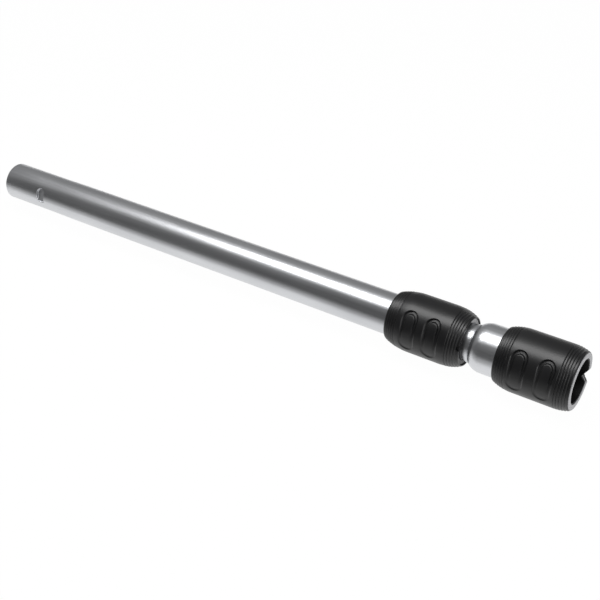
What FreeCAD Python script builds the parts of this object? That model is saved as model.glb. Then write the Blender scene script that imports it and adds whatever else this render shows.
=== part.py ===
import FreeCAD, Part
import math
import os
import types

import Sketcher

# Telescopic vacuum wand, lying on its side, millimetres.
# The tube axis is X, from the open end of the outer tube (x = 0) to the mouth of the socket.
# Each piece is modelled with its front line on -Y and its lock line on +Z, then rolled about X as it lies.

DRIVING_SIZES = [
    # tubes
    ("tube_radius", 17.5, "outside radius of the outer tube"),
    ("tube_wall", 0.8, "wall of both tubes"),
    ("tube_length", 456.0, "length of the outer tube"),
    ("tube_edge", 0.3, "bevel on small edges"),
    ("spigot_radius", 17.2, "outside radius of the sized end that plugs into a socket"),
    ("spigot_length", 53.0, "length of the sized end that plugs into a socket"),
    ("inner_radius", 15.5, "outside radius of the inner tube"),
    ("inner_start", 56.0, "hidden end of the inner tube when pushed in"),
    ("channel_start", 71.0, "start of the pressed channel in the inner tube"),
    ("channel_setback", 18.7, "end of the pressed channel before the mouth of the release sleeve"),
    ("channel_half_width", 4.8, "half the width of the pressed channel"),
    ("channel_floor", 14.2, "height of the channel floor above the axis"),
    # detent pocket at the open end
    ("pocket_place", 46.0, "middle of the detent pocket from the open end"),
    ("pocket_width", 8.4, "width of the detent pocket along the tube"),
    ("pocket_height", 12.8, "height of the detent pocket around the tube"),
    ("pocket_depth", 2.5, "depth of the detent pocket"),
    # release sleeve of the telescope
    ("lock_overlap", 25.7, "length of the release sleeve over the outer tube"),
    ("lock_length", 68.4, "length of the release sleeve"),
    ("lock_wall", 6.2, "thickness of the release sleeve where it is fullest"),
    ("lock_end_drop", 4.3, "drop of the release sleeve from its fullest radius to both ends"),
    ("lock_rear_taper", 20.0, "length of the curved taper at the tube end"),
    ("lock_mouth_taper", 18.0, "length of the curved taper at the mouth end"),
    ("lock_lip", 3.2, "length of the guiding lip on the outer tube"),
    ("lock_chamber", 24.7, "end of the spring chamber from the sleeve start"),
    ("lock_counterbore", 15.0, "depth of the counterbore at the mouth of the release sleeve"),
    # guide bush
    ("bush_radius", 18.3, "outside radius of the guide bush"),
    ("bush_skirt", 50.0, "length of the guide bush inside the outer tube"),
    ("bush_cup", 20.5, "length of the bush over the outer tube"),
    ("bush_flange", 19.8, "radius of the spring seat on the bush"),
    ("bush_flange_width", 2.0, "width of the spring seat on the bush"),
    ("wiper_space", 2.6, "room for the wiper ring between the bush and the end ring"),
    ("bush_thread_radius", 17.6, "radius of the bush end under the end ring"),
    ("bush_thread_length", 4.9, "length of the bush end under the end ring"),
    ("bush_pin_radius", 1.5, "radius of the two bush pins"),
    ("bush_pin_place", 10.0, "distance of the bush pins from the outer tube end"),
    ("key_gap", 0.3, "clearance of the bush key in the channel"),
    ("key_setback", 48.0, "start of the bush key before the end of the outer tube"),
    ("key_length", 46.0, "length of the bush key"),
    # telescope lock
    ("roller_step", 14.0, "middle of the lock roller beyond the outer tube"),
    ("roller_radius", 2.5, "radius of the lock roller"),
    ("roller_length", 9.0, "length of the lock roller"),
    ("roller_edge", 0.4, "bevel at the ends of the lock roller"),
    ("stroke", 6.0, "release travel of both sleeves"),
    ("roller_lift", 1.0, "lift of the lock roller at full release"),
    ("latch_lift", 1.2, "lift of the socket latch at full release"),
    ("cam_gap", 0.2, "clearance between the roller and the cam"),
    ("cam_lead", 0.5, "level part of the roller cam beyond the roller"),
    ("cam_overrun", 1.5, "slope of the roller cam beyond the release travel"),
    ("cam_rise", 1.5, "height of both cam slopes"),
    ("cam_rest", 3.0, "level end of the roller cam"),
    ("latch_lead", 0.9, "level part of the latch cam beyond the latch"),
    # springs, rings and washers
    ("wire_radius", 0.5, "radius of the spring wire"),
    ("lock_spring_radius", 19.3, "mean radius of the lock spring"),
    ("lock_spring_turns", 5.0, "turns of the lock spring"),
    ("socket_spring_radius", 21.5, "mean radius of the socket spring"),
    ("socket_spring_turns", 4.0, "turns of the socket spring"),
    ("washer_thickness", 1.0, "thickness of the spring washers"),
    ("snap_thickness", 1.2, "thickness of the snap ring"),
    ("snap_radius", 19.3, "outside radius of the snap ring"),
    ("snap_depth", 0.7, "depth of the snap ring groove in the bush"),
    ("snap_angle", 325.0, "angle covered by the open snap ring"),
    ("ring_recess", 3.0, "depth of the lock end ring inside the sleeve"),
    ("ring_face", 1.5, "thickness of the lock end ring face"),
    ("slide_ring_length", 12.0, "length of the slide ring on the inner tube"),
    ("slide_ring_lip", 1.5, "lip of the slide ring over the tube edge"),
    # neck and socket
    ("neck_length", 2.8, "bare neck between the release sleeve and the shoulder"),
    ("shoulder_length", 11.5, "length of the swelling shoulder"),
    ("socket_radius", 20.45, "outside radius of the socket"),
    ("crease", 0.5, "depth of the crease at the foot of the shoulder"),
    ("socket_length", 70.6, "length of the socket metal beyond the shoulder"),
    ("liner_step", 3.0, "inner end of the socket liner beyond the shoulder"),
    ("liner_overhang", 4.5, "length of the socket liner beyond the socket metal"),
    ("liner_bore", 17.65, "bore radius of the socket liner"),
    ("liner_land", 16.0, "length of the guide land at the mouth of the liner"),
    ("liner_relief", 0.5, "depth of the relief between the guide lands"),
    ("liner_foot", 12.0, "length of the guide land at the foot of the liner"),
    ("liner_lip", 2.5, "thickness of the stop lip in the liner"),
    ("liner_lip_bore", 15.0, "bore radius of the stop lip"),
    ("seal_thickness", 2.4, "thickness of the socket seal"),
    ("seal_bore", 15.4, "bore radius of the socket seal"),
    # coupling sleeve at the socket
    ("socket_bulb", 12.8, "bare length of the socket between the shoulder and the coupling sleeve"),
    ("mouth_gap", 0.1, "end of the coupling sleeve before the end of the liner"),
    ("coupling_wall", 5.25, "thickness of the coupling sleeve where it is fullest"),
    ("coupling_neck_drop", 3.6, "drop of the coupling sleeve from its fullest radius to the neck end"),
    ("coupling_mouth_drop", 2.3, "drop of the coupling sleeve from its fullest radius to the mouth end"),
    ("socket_neck_taper", 16.0, "length of the curved taper at the neck end"),
    ("socket_mouth_taper", 12.0, "length of the curved taper at the mouth end"),
    ("socket_lip", 3.5, "length of the guiding lip on the socket"),
    ("socket_chamber_end", 22.0, "end of the spring chamber from the sleeve start"),
    ("seat_place", 5.5, "start of the spring seat ring from the sleeve start"),
    ("seat_width", 2.0, "width of the spring seat ring"),
    ("latch_setback", 21.25, "middle of the socket latch before the mouth"),
    ("latch_half_width", 2.3, "half the width of the latch nose"),
    ("latch_head", 3.3, "half the width of the latch head"),
    ("latch_length", 8.0, "length of the latch around the tube"),
    ("latch_nose", 1.2, "depth of the latch nose inside the bore"),
    ("latch_ledge", 0.6, "thickness of the latch head at its edges"),
    ("latch_hump", 1.7, "half the width of the rounded hump on the latch head"),
    ("latch_crown", 1.3, "height of the latch head"),
    # end ring and key notch
    ("ring_radius", 23.2, "outside radius of the socket end ring"),
    ("ring_thickness", 0.6, "thickness of the socket end ring flange"),
    ("ring_bore", 18.6, "bore radius of the socket end ring"),
    ("ring_bevel", 0.3, "lead-in bevel of the socket end ring"),
    ("notch_depth", 4.5, "depth of the key notch at the mouth"),
    ("notch_skew", 2.7, "height of the notch tip below the back line"),
    ("notch_upper", 4.8, "upper end of the key notch above the back line"),
    ("notch_lower", 7.6, "lower end of the key notch below the back line"),
    ("sleeve_notch_depth", 2.4, "depth of the notch in the release sleeve"),
    ("sleeve_notch_half", 2.6, "half width of the notch in the release sleeve"),
    # turned grooves and finger ovals on both sleeves
    ("groove_margin", 1.8, "first groove from the end of a sleeve"),
    ("groove_pitch", 2.1, "pitch of the turned grooves"),
    ("groove_width", 0.9, "width of a turned groove"),
    ("groove_depth", 0.5, "depth of a turned groove"),
    ("oval_width", 13.8, "width of a finger oval along the wand"),
    ("oval_height", 33.4, "height of a finger oval across the wand"),
    ("lock_oval_place", 32.2, "middle of the finger ovals from the start of the release sleeve"),
    ("lock_oval_pitch", 20.0, "distance between the finger ovals of the release sleeve"),
    ("socket_oval_place", 30.9, "middle of the finger ovals from the start of the coupling sleeve"),
    ("socket_oval_pitch", 22.0, "distance between the finger ovals of the coupling sleeve"),
    ("oval_depth", 1.7, "depth of the trench round a finger pad"),
    ("oval_trench", 2.4, "width of the trench round a finger pad"),
    ("pad_drop", 0.5, "drop of a finger pad below the sleeve"),
    # fits and how the wand lies
    ("shaft_fit", 0.1, "radial clearance of guided sliding fits"),
    ("seat_fit", 0.05, "radial clearance of fixed fits"),
    ("free_fit", 0.3, "clearance of loose moving faces"),
    ("roll", 15.0, "roll of the lying wand about its axis"),
]
GROOVES_PER_END = 5
CUTTER_REACH = 40.0
HALF_ROUND = None

doc = FreeCAD.newDocument("telescopic_wand")
sheet = doc.addObject("Spreadsheet::Sheet", "Sizes")


class Dim:
    """A size that knows its value and the formula that ties it to the sheet."""

    def __init__(self, value, formula):
        self.value = value
        self.formula = formula

    def __add__(self, other):
        other = as_dim(other)
        return Dim(self.value + other.value, f"({self.formula} + {other.formula})")

    def __sub__(self, other):
        other = as_dim(other)
        return Dim(self.value - other.value, f"({self.formula} - {other.formula})")

    def __mul__(self, other):
        other = as_dim(other)
        return Dim(self.value * other.value, f"({self.formula} * {other.formula})")

    def __truediv__(self, other):
        other = as_dim(other)
        return Dim(self.value / other.value, f"({self.formula} / {other.formula})")

    def __neg__(self):
        return Dim(-self.value, f"(-1 * {self.formula})")

    def root(self):
        return Dim(math.sqrt(self.value), f"sqrt({self.formula})")


def as_dim(number):
    if isinstance(number, Dim):
        return number
    return Dim(float(number), f"({float(number)!r})")


def fill_sheet():
    """Write the driving sizes to the sheet and return them by name."""
    sizes = {}
    for row, (alias, value, note) in enumerate(DRIVING_SIZES, start=1):
        sheet.set(f"A{row}", note)
        sheet.set(f"B{row}", str(value))
        sheet.setAlias(f"B{row}", alias)
        sizes[alias] = Dim(value, f"Sizes.{alias}")
    doc.recompute()
    return types.SimpleNamespace(**sizes)


size = fill_sheet()


# Sketch and feature helpers

def plane(body, role):
    return next(f for f in body.Origin.OriginFeatures if f.Role == role)


def new_sketch(body, name, role, offset=None):
    """Sketch on an origin plane of its own body, moved along the plane's normal by offset."""
    sketch = body.newObject("Sketcher::SketchObject", name)
    sketch.AttachmentSupport = [(plane(body, role), "")]
    sketch.MapMode = "FlatFace"
    if offset is not None:
        sketch.AttachmentOffset = FreeCAD.Placement(
            FreeCAD.Vector(0, 0, offset.value), FreeCAD.Rotation())
        sketch.setExpression("AttachmentOffset.Base.z", offset.formula)
    return sketch


def bind_point(sketch, geometry, end, point):
    for kind, dim in zip(("DistanceX", "DistanceY"), point):
        index = sketch.addConstraint(Sketcher.Constraint(kind, -1, 1, geometry, end, dim.value))
        sketch.setExpression(f"Constraints[{index}]", dim.formula)


def arc_middle(start, end, radius, turn):
    """Point half way along the arc of that radius; turn is 1 for a left-hand arc, -1 for a right-hand one."""
    chord = end - start
    rise = math.sqrt(max(radius ** 2 - (chord.Length / 2) ** 2, 0.0))
    side = FreeCAD.Vector(-chord.y, chord.x, 0).normalize() * turn
    centre = (start + end) * 0.5 + side * rise
    return centre - side * radius


def add_outline(sketch, corners):
    """Closed outline. A corner is (x, y), or (x, y, radius, turn) where an arc leads from it to the next one.

    A radius of HALF_ROUND makes a half circle over a level chord.
    """
    spots = [FreeCAD.Vector(corner[0].value, corner[1].value, 0) for corner in corners]
    first = sketch.GeometryCount
    ends = []
    for index, corner in enumerate(corners):
        start = spots[index]
        stop = spots[(index + 1) % len(spots)]
        if len(corner) == 2:
            sketch.addGeometry(Part.LineSegment(start, stop), False)
            ends.append((1, 2))
            continue
        radius, turn = corner[2:]
        arc_radius = start.distanceToPoint(stop) / 2 if radius is HALF_ROUND else radius.value
        middle = arc_middle(start, stop, arc_radius, turn)
        sketch.addGeometry(Part.Arc(start, middle, stop), False)
        ends.append((1, 2) if turn > 0 else (2, 1))
    for index in range(len(corners)):
        following = (index + 1) % len(corners)
        sketch.addConstraint(Sketcher.Constraint(
            "Coincident", first + index, ends[index][1], first + following, ends[following][0]))
    for index, corner in enumerate(corners):
        bind_point(sketch, first + index, ends[index][0], corner[:2])
        if len(corner) == 4:
            bind_arc(sketch, first + index, corner)


def bind_arc(sketch, geometry, corner):
    """Tie an arc's radius to the sheet, or a half circle's centre to the height of its chord."""
    height, radius = corner[1:3]
    if radius is HALF_ROUND:
        constraint = Sketcher.Constraint("DistanceY", -1, 1, geometry, 3, height.value)
        formula = height.formula
    else:
        constraint = Sketcher.Constraint("Radius", geometry, radius.value)
        formula = radius.formula
    index = sketch.addConstraint(constraint)
    sketch.setExpression(f"Constraints[{index}]", formula)


def box_outline(left, right, bottom, top):
    return [(left, bottom), (right, bottom), (right, top), (left, top)]


def stadium(middle, width, height):
    """Upright oval in a front view: straight sides and half-round ends."""
    half = width / 2
    straight = height / 2 - half
    return [
        (middle + half, -straight),
        (middle + half, straight, HALF_ROUND, 1),
        (middle - half, straight),
        (middle - half, -straight, HALF_ROUND, 1),
    ]


def add_circle(sketch, x, y, radius):
    index = sketch.addGeometry(
        Part.Circle(FreeCAD.Vector(x.value, y.value, 0), FreeCAD.Vector(0, 0, 1), radius.value), False)
    bind_point(sketch, index, 3, (x, y))
    constraint = sketch.addConstraint(Sketcher.Constraint("Radius", index, radius.value))
    sketch.setExpression(f"Constraints[{constraint}]", radius.formula)


def new_body(name):
    return doc.addObject("PartDesign::Body", name)


def turned(name, corners, sweep=None):
    """Body turned about the wand's axis from a half section of (x, radius) corners."""
    body = new_body(name)
    sketch = new_sketch(body, f"{name}_section", "XY_Plane")
    add_outline(sketch, corners)
    revolution = body.newObject("PartDesign::Revolution", f"{name}_turned")
    revolution.Profile = sketch
    revolution.ReferenceAxis = (sketch, ["H_Axis"])
    revolution.Angle = 360.0
    if sweep is not None:
        revolution.setExpression("Angle", sweep.formula)
    doc.recompute()
    return body


def groove_rings(body, corner_lists):
    """Turned grooves cut into a body, each from a half section of (x, radius) corners."""
    sketch = new_sketch(body, f"{body.Name}_grooves", "XY_Plane")
    for corners in corner_lists:
        add_outline(sketch, corners)
    groove = body.newObject("PartDesign::Groove", f"{body.Name}_groove_cut")
    groove.Profile = sketch
    groove.ReferenceAxis = (sketch, ["H_Axis"])
    groove.Angle = 360.0
    expect_change(body, groove, -1)


def expect_change(body, feature, sign):
    """Recompute and make sure that a feature removed (-1) or added (1) material."""
    before = feature.BaseFeature.Shape.Volume
    doc.recompute()
    change = body.Shape.Volume - before
    if change * sign <= 0:
        raise RuntimeError(f"{feature.Name} changed the volume by {change}")


def pad(body, name, role, outlines, length, offset=None, both_sides=False, back=False):
    """Straight pad of closed outlines drawn on an origin plane."""
    sketch = new_sketch(body, f"{name}_sketch", role, offset)
    for corners in outlines:
        add_outline(sketch, corners)
    feature = body.newObject("PartDesign::Pad", name)
    feature.Profile = sketch
    feature.Length = length.value
    feature.setExpression("Length", length.formula)
    feature.Midplane = both_sides
    feature.Reversed = back
    doc.recompute()
    return feature


def pocket(body, name, role, outlines, length, offset=None, both_sides=False, back=False):
    """Straight cut of closed outlines drawn on an origin plane; back cuts along the plane's normal."""
    sketch = new_sketch(body, f"{name}_sketch", role, offset)
    for corners in outlines:
        add_outline(sketch, corners)
    feature = body.newObject("PartDesign::Pocket", name)
    feature.Profile = sketch
    feature.Length = length.value
    feature.setExpression("Length", length.formula)
    feature.Midplane = both_sides
    feature.Reversed = back
    expect_change(body, feature, -1)
    return feature


def round_pocket(body, name, role, x, y, radius, length):
    """Round hole drawn on an origin plane and cut to both sides."""
    sketch = new_sketch(body, f"{name}_sketch", role)
    add_circle(sketch, x, y, radius)
    feature = body.newObject("PartDesign::Pocket", name)
    feature.Profile = sketch
    feature.Length = length.value
    feature.setExpression("Length", length.formula)
    feature.Midplane = True
    expect_change(body, feature, -1)


def cut(name, base, tool):
    feature = doc.addObject("Part::Cut", name)
    feature.Base = base
    feature.Tool = tool
    doc.recompute()
    return feature


def axis_cylinder(name, radius, start, length):
    """Round bar along the wand's axis."""
    bar = doc.addObject("Part::Cylinder", name)
    bar.Placement = FreeCAD.Placement(
        FreeCAD.Vector(start.value, 0, 0), FreeCAD.Rotation(FreeCAD.Vector(0, 1, 0), 90))
    bar.setExpression("Radius", radius.formula)
    bar.setExpression("Height", length.formula)
    bar.setExpression("Placement.Base.x", start.formula)
    doc.recompute()
    return bar


# Places shared by several pieces, along the wand from the outer tube to the mouth
reach = as_dim(CUTTER_REACH)
tube_bore = size.tube_radius - size.tube_wall
lock_start = size.tube_length - size.lock_overlap
lock_end = lock_start + size.lock_length
lock_shoulder = lock_start + size.lock_chamber
lock_stop = lock_end - size.lock_counterbore
lock_ring_end = lock_end - size.ring_recess
lock_bore = size.bush_radius + size.free_fit
lock_radius = lock_bore + size.lock_wall
lock_end_radius = lock_radius - size.lock_end_drop
lock_chamber_radius = size.bush_flange + size.free_fit
lock_stop_radius = size.snap_radius + size.free_fit
snap_start = lock_stop + size.free_fit
bush_start = size.tube_length - size.bush_skirt
bush_bore = size.inner_radius + size.shaft_fit
bush_end = lock_ring_end - size.ring_face - size.wiper_space
cup_start = size.tube_length - size.bush_cup
key_start = size.tube_length - size.key_setback
roller_place = size.tube_length + size.roller_step
roller_rest = size.channel_floor + size.shaft_fit + size.roller_radius
window_half_width = size.roller_radius + size.free_fit
window_half_length = size.roller_length / 2 + size.free_fit
channel_end = lock_end - size.channel_setback
neck_end = lock_end + size.neck_length
shoulder_end = neck_end + size.shoulder_length
socket_end = shoulder_end + size.socket_length
socket_bore = size.socket_radius - size.tube_wall
liner_start = shoulder_end + size.liner_step
liner_end = socket_end + size.liner_overhang
liner_radius = socket_bore - size.seat_fit
coupling_start = shoulder_end + size.socket_bulb
coupling_end = liner_end - size.mouth_gap
coupling_bore = size.socket_radius + size.free_fit
coupling_radius = coupling_bore + size.coupling_wall
coupling_neck_radius = coupling_radius - size.coupling_neck_drop
coupling_mouth_radius = coupling_radius - size.coupling_mouth_drop
seat_start = coupling_start + size.seat_place
seat_end = seat_start + size.seat_width
seat_radius = size.socket_spring_radius + size.wire_radius
coupling_chamber_radius = seat_radius + size.free_fit
coupling_shoulder = coupling_start + size.socket_chamber_end
mouth = liner_end + size.ring_thickness + size.seat_fit
latch_place = mouth - size.latch_setback
latch_foot = size.socket_radius + size.cam_gap
latch_top = latch_foot + size.latch_crown
latch_window_half = size.latch_half_width + size.free_fit
latch_window_length = size.latch_length / 2 + size.free_fit


# Outer tube with the pressed detent pocket and the holes of the bush pins

def make_outer_tube():
    bevel = size.tube_edge
    spigot_bore = size.spigot_radius - size.tube_wall
    body = turned("outer_tube", [
        (bevel, spigot_bore),
        (size.spigot_length, spigot_bore),
        (size.spigot_length, tube_bore),
        (size.tube_length, tube_bore),
        (size.tube_length, size.tube_radius),
        (size.spigot_length, size.tube_radius),
        (size.spigot_length, size.spigot_radius),
        (as_dim(0), size.spigot_radius),
        (as_dim(0), spigot_bore + bevel),
    ])
    half_height = size.pocket_height / 2
    floor = size.spigot_radius - size.pocket_depth
    back_of_pocket = floor - size.tube_wall
    wall_middle = size.spigot_radius - size.tube_wall / 2
    block_half = half_height + size.tube_wall
    block_rim = (wall_middle * wall_middle - block_half * block_half).root()
    block_half_width = size.pocket_width / 2 + size.tube_wall
    pad(body, "pocket_block", "YZ_Plane", [[
        (-back_of_pocket, -block_half),
        (-back_of_pocket, block_half),
        (-block_rim, block_half, wall_middle, 1),
        (-block_rim, -block_half),
    ]], block_half_width * 2, offset=size.pocket_place - block_half_width)
    half_width = size.pocket_width / 2
    arch_foot = half_height - half_width
    pocket(body, "detent_pocket", "XZ_Plane", [[
        (size.pocket_place - half_width, -half_height),
        (size.pocket_place + half_width, -half_height),
        (size.pocket_place + half_width, arch_foot, HALF_ROUND, 1),
        (size.pocket_place - half_width, arch_foot),
    ]], reach, offset=floor, back=True)
    round_pocket(body, "tube_pin_holes", "XY_Plane", size.tube_length - size.bush_pin_place, as_dim(0),
                 size.bush_pin_radius + size.seat_fit, reach * 2)
    return body


# Inner tube with its pressed channel, its neck and its swollen socket end

def make_inner_tube():
    bore = size.inner_radius - size.tube_wall
    rise = size.socket_radius - size.inner_radius + size.crease
    swell = (size.shoulder_length * size.shoulder_length + rise * rise) / (rise * 2)
    inner_rise = socket_bore - bore
    inner_swell = (size.shoulder_length * size.shoulder_length + inner_rise * inner_rise) / (inner_rise * 2)
    body = turned("inner_tube", [
        (size.inner_start, bore),
        (neck_end, bore, inner_swell, -1),
        (shoulder_end, socket_bore),
        (socket_end, socket_bore),
        (socket_end, size.socket_radius),
        (shoulder_end, size.socket_radius, swell, 1),
        (neck_end, size.inner_radius - size.crease),
        (neck_end - size.crease, size.inner_radius),
        (size.inner_start, size.inner_radius),
    ])
    rib_half = size.channel_half_width + size.tube_wall
    rib_floor = size.channel_floor - size.tube_wall
    wall_middle = size.inner_radius - size.tube_wall / 2
    rib_rim = (wall_middle * wall_middle - rib_half * rib_half).root()
    pad(body, "channel_rib", "YZ_Plane", [[
        (-rib_half, rib_floor),
        (rib_half, rib_floor),
        (rib_half, rib_rim, wall_middle, 1),
        (-rib_half, rib_rim),
    ]], channel_end - size.channel_start + size.tube_wall * 2, offset=size.channel_start - size.tube_wall)
    pocket(body, "channel", "YZ_Plane", [
        box_outline(-size.channel_half_width, size.channel_half_width, size.channel_floor, reach),
    ], channel_end - size.channel_start, offset=size.channel_start, back=True)
    pocket(body, "latch_window", "XY_Plane", [
        box_outline(latch_place - latch_window_half, latch_place + latch_window_half,
                    -latch_window_length, latch_window_length),
    ], reach, back=True)
    return body


def make_slide_ring():
    """Guide ring on the hidden end of the inner tube, running in the outer tube."""
    outside = tube_bore - size.shaft_fit
    inside = size.inner_radius + size.seat_fit
    lip_bore = size.inner_radius - size.tube_wall
    edge = size.inner_start - size.seat_fit
    bevel = size.tube_edge
    return turned("slide_ring", [
        (edge - size.slide_ring_lip, lip_bore),
        (edge, lip_bore),
        (edge, inside),
        (size.inner_start + size.slide_ring_length, inside),
        (size.inner_start + size.slide_ring_length, outside - bevel),
        (size.inner_start + size.slide_ring_length - bevel, outside),
        (edge - size.slide_ring_lip + bevel, outside),
        (edge - size.slide_ring_lip, outside - bevel),
    ])


# Guide bush, fixed over and inside the end of the outer tube

def make_guide_bush():
    skirt = tube_bore - size.seat_fit
    cup_bore = size.tube_radius + size.seat_fit
    web = size.tube_length + size.seat_fit
    thread_start = bush_end - size.bush_thread_length
    snap_floor = size.bush_radius - size.snap_depth
    flange_end = cup_start + size.bush_flange_width
    body = turned("guide_bush", [
        (bush_start, bush_bore),
        (bush_end, bush_bore),
        (bush_end, size.bush_thread_radius),
        (thread_start, size.bush_thread_radius),
        (thread_start, size.bush_radius),
        (snap_start + size.snap_thickness + size.seat_fit, size.bush_radius),
        (snap_start + size.snap_thickness + size.seat_fit, snap_floor),
        (snap_start - size.seat_fit, snap_floor),
        (snap_start - size.seat_fit, size.bush_radius),
        (flange_end, size.bush_radius),
        (flange_end, size.bush_flange),
        (cup_start, size.bush_flange),
        (cup_start, cup_bore),
        (web, cup_bore),
        (web, skirt),
        (bush_start, skirt),
    ])
    key_half = size.channel_half_width - size.key_gap
    pad(body, "bush_key", "YZ_Plane", [
        box_outline(-key_half, key_half, size.channel_floor + size.key_gap, bush_bore + size.tube_wall / 2),
    ], size.key_length, offset=key_start)
    pocket(body, "roller_window", "XY_Plane", [
        box_outline(roller_place - window_half_width, roller_place + window_half_width,
                    -window_half_length, window_half_length),
    ], reach, back=True)
    round_pocket(body, "bush_pin_holes", "XY_Plane", size.tube_length - size.bush_pin_place, as_dim(0),
                 size.bush_pin_radius + size.seat_fit, reach * 2)
    return body


def make_bush_pins():
    """Two pins that hold the guide bush on the outer tube, one on each side."""
    start = size.tube_length - size.bush_pin_place - size.bush_pin_radius * 2
    length = size.bush_pin_radius * 4
    shell = cut("pin_shell", axis_cylinder("pin_heads", size.bush_radius - size.seat_fit, start, length),
                axis_cylinder("pin_feet", tube_bore, start, length))
    bar = doc.addObject("Part::Cylinder", "pin_bar")
    bar.Placement.Base = FreeCAD.Vector(0, 0, -CUTTER_REACH)
    bar.Height = CUTTER_REACH * 2
    bar.setExpression("Radius", size.bush_pin_radius.formula)
    bar.setExpression("Placement.Base.x", (size.tube_length - size.bush_pin_place).formula)
    pins = doc.addObject("Part::Common", "bush_pins")
    pins.Base = bar
    pins.Tool = shell
    doc.recompute()
    return pins


# Lock pieces that are turned rings

def make_wiper_ring():
    """Felt ring that wipes the inner tube, held between the bush and the end ring."""
    return turned("wiper_ring", box_outline(
        bush_end + size.seat_fit, lock_ring_end - size.ring_face - size.seat_fit,
        size.inner_radius + size.seat_fit, size.bush_thread_radius))


def make_lock_end_ring():
    """Pale ring on the end of the bush, deep inside the mouth of the release sleeve."""
    skirt_start = bush_end - size.bush_thread_length + size.seat_fit
    skirt_bore = size.bush_thread_radius + size.seat_fit
    face = lock_ring_end - size.ring_face
    bevel = size.tube_edge
    return turned("lock_end_ring", [
        (skirt_start, skirt_bore),
        (face, skirt_bore),
        (face, bush_bore + size.shaft_fit),
        (lock_ring_end, bush_bore + size.shaft_fit),
        (lock_ring_end, size.snap_radius - bevel),
        (lock_ring_end - bevel, size.snap_radius),
        (skirt_start, size.snap_radius),
    ])


def make_lock_snap_ring():
    """Open spring-steel ring in the bush groove that stops the release sleeve."""
    return turned("lock_snap_ring", box_outline(
        snap_start, snap_start + size.snap_thickness,
        size.bush_radius - size.snap_depth + size.seat_fit, size.snap_radius), sweep=size.snap_angle)


def make_washer(name, shoulder, inside, outside):
    """Washer between a spring and the shoulder inside its sleeve."""
    return turned(name, box_outline(
        shoulder - size.washer_thickness - size.seat_fit, shoulder - size.seat_fit, inside, outside))


def make_spring(name, start, end, mean_radius, turns):
    """Round-wire compression spring between two seats."""
    body = new_body(name)
    sketch = new_sketch(body, f"{name}_wire", "XY_Plane")
    add_circle(sketch, start + size.wire_radius + size.seat_fit, mean_radius, size.wire_radius)
    coil = body.newObject("PartDesign::AdditiveHelix", f"{name}_coil")
    coil.Profile = sketch
    coil.ReferenceAxis = (sketch, ["H_Axis"])
    coil.Mode = "height-turns-angle"
    height = end - start - size.wire_radius * 2 - size.seat_fit * 2
    coil.Height = height.value
    coil.Turns = turns.value
    coil.setExpression("Height", height.formula)
    coil.setExpression("Turns", turns.formula)
    doc.recompute()
    return body


def make_lock_roller():
    """Clamping roller that lies across the channel of the inner tube."""
    half = size.roller_length / 2
    bevel = size.roller_edge
    body = new_body("lock_roller")
    sketch = new_sketch(body, "roller_section", "XY_Plane", offset=roller_rest)
    centre = roller_place
    add_outline(sketch, [
        (centre, -half),
        (centre + size.roller_radius - bevel, -half),
        (centre + size.roller_radius, -half + bevel),
        (centre + size.roller_radius, half - bevel),
        (centre + size.roller_radius - bevel, half),
        (centre, half),
    ])
    revolution = body.newObject("PartDesign::Revolution", "roller_turned")
    revolution.Profile = sketch
    revolution.ReferenceAxis = (sketch, ["Edge6"])
    revolution.Angle = 360.0
    doc.recompute()
    return body


# Sleeves with barrel outsides, turned grooves, finger ovals and cam pockets

def taper_radius(length, low, high):
    """Radius of the arc that rises from low to high over a length and ends level."""
    rise = high - low
    return (length * length + rise * rise) / (rise * 2)


def barrel_height(distance, length, low, high):
    """Height of that arc at a distance from its low end."""
    arc = taper_radius(length, low, high)
    run = length - distance
    return high - arc + (arc * arc - run * run).root()


def end_grooves(edge, inwards, length, low, high):
    """Half sections of the turned grooves near one end of a sleeve."""
    sections = []
    for index in range(GROOVES_PER_END):
        near = size.groove_margin + size.groove_pitch * index
        far = near + size.groove_width
        floor = barrel_height(near + size.groove_width / 2, length, low, high) - size.groove_depth
        left, right = (edge + near, edge + far) if inwards > 0 else (edge - far, edge - near)
        sections.append(box_outline(left, right, floor, reach))
    return sections


def cut_finger_ovals(name, sleeve, middle, pitch, barrel):
    """Two ovals on the front and two on the back, each a trench round a slightly lowered pad."""
    places = [middle - pitch / 2, middle + pitch / 2]
    inner_width = size.oval_width - size.oval_trench * 2
    inner_height = size.oval_height - size.oval_trench * 2
    trench = new_body(f"{name}_trench_cutter")
    outlines = []
    for place in places:
        outlines.append(stadium(place, size.oval_width, size.oval_height))
        outlines.append(stadium(place, inner_width, inner_height))
    pad(trench, f"{name}_trench_block", "XZ_Plane", outlines, reach * 2, both_sides=True)
    round_core(trench, f"{name}_trench_core", middle, barrel - size.oval_depth)
    skim = new_body(f"{name}_pad_cutter")
    pads = [stadium(place, inner_width, inner_height) for place in places]
    pad(skim, f"{name}_pad_block", "XZ_Plane", pads, reach * 2, both_sides=True)
    round_core(skim, f"{name}_pad_core", middle, barrel - size.pad_drop)
    return cut(f"{name}_with_pads", cut(f"{name}_with_trench", sleeve, trench), skim)


def round_core(body, name, middle, radius):
    """Keep only what lies outside a radius about the wand's axis."""
    sketch = new_sketch(body, f"{name}_sketch", "YZ_Plane", offset=middle)
    add_circle(sketch, as_dim(0), as_dim(0), radius)
    feature = body.newObject("PartDesign::Pocket", name)
    feature.Profile = sketch
    feature.Length = CUTTER_REACH * 2
    feature.Midplane = True
    expect_change(body, feature, -1)


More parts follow.
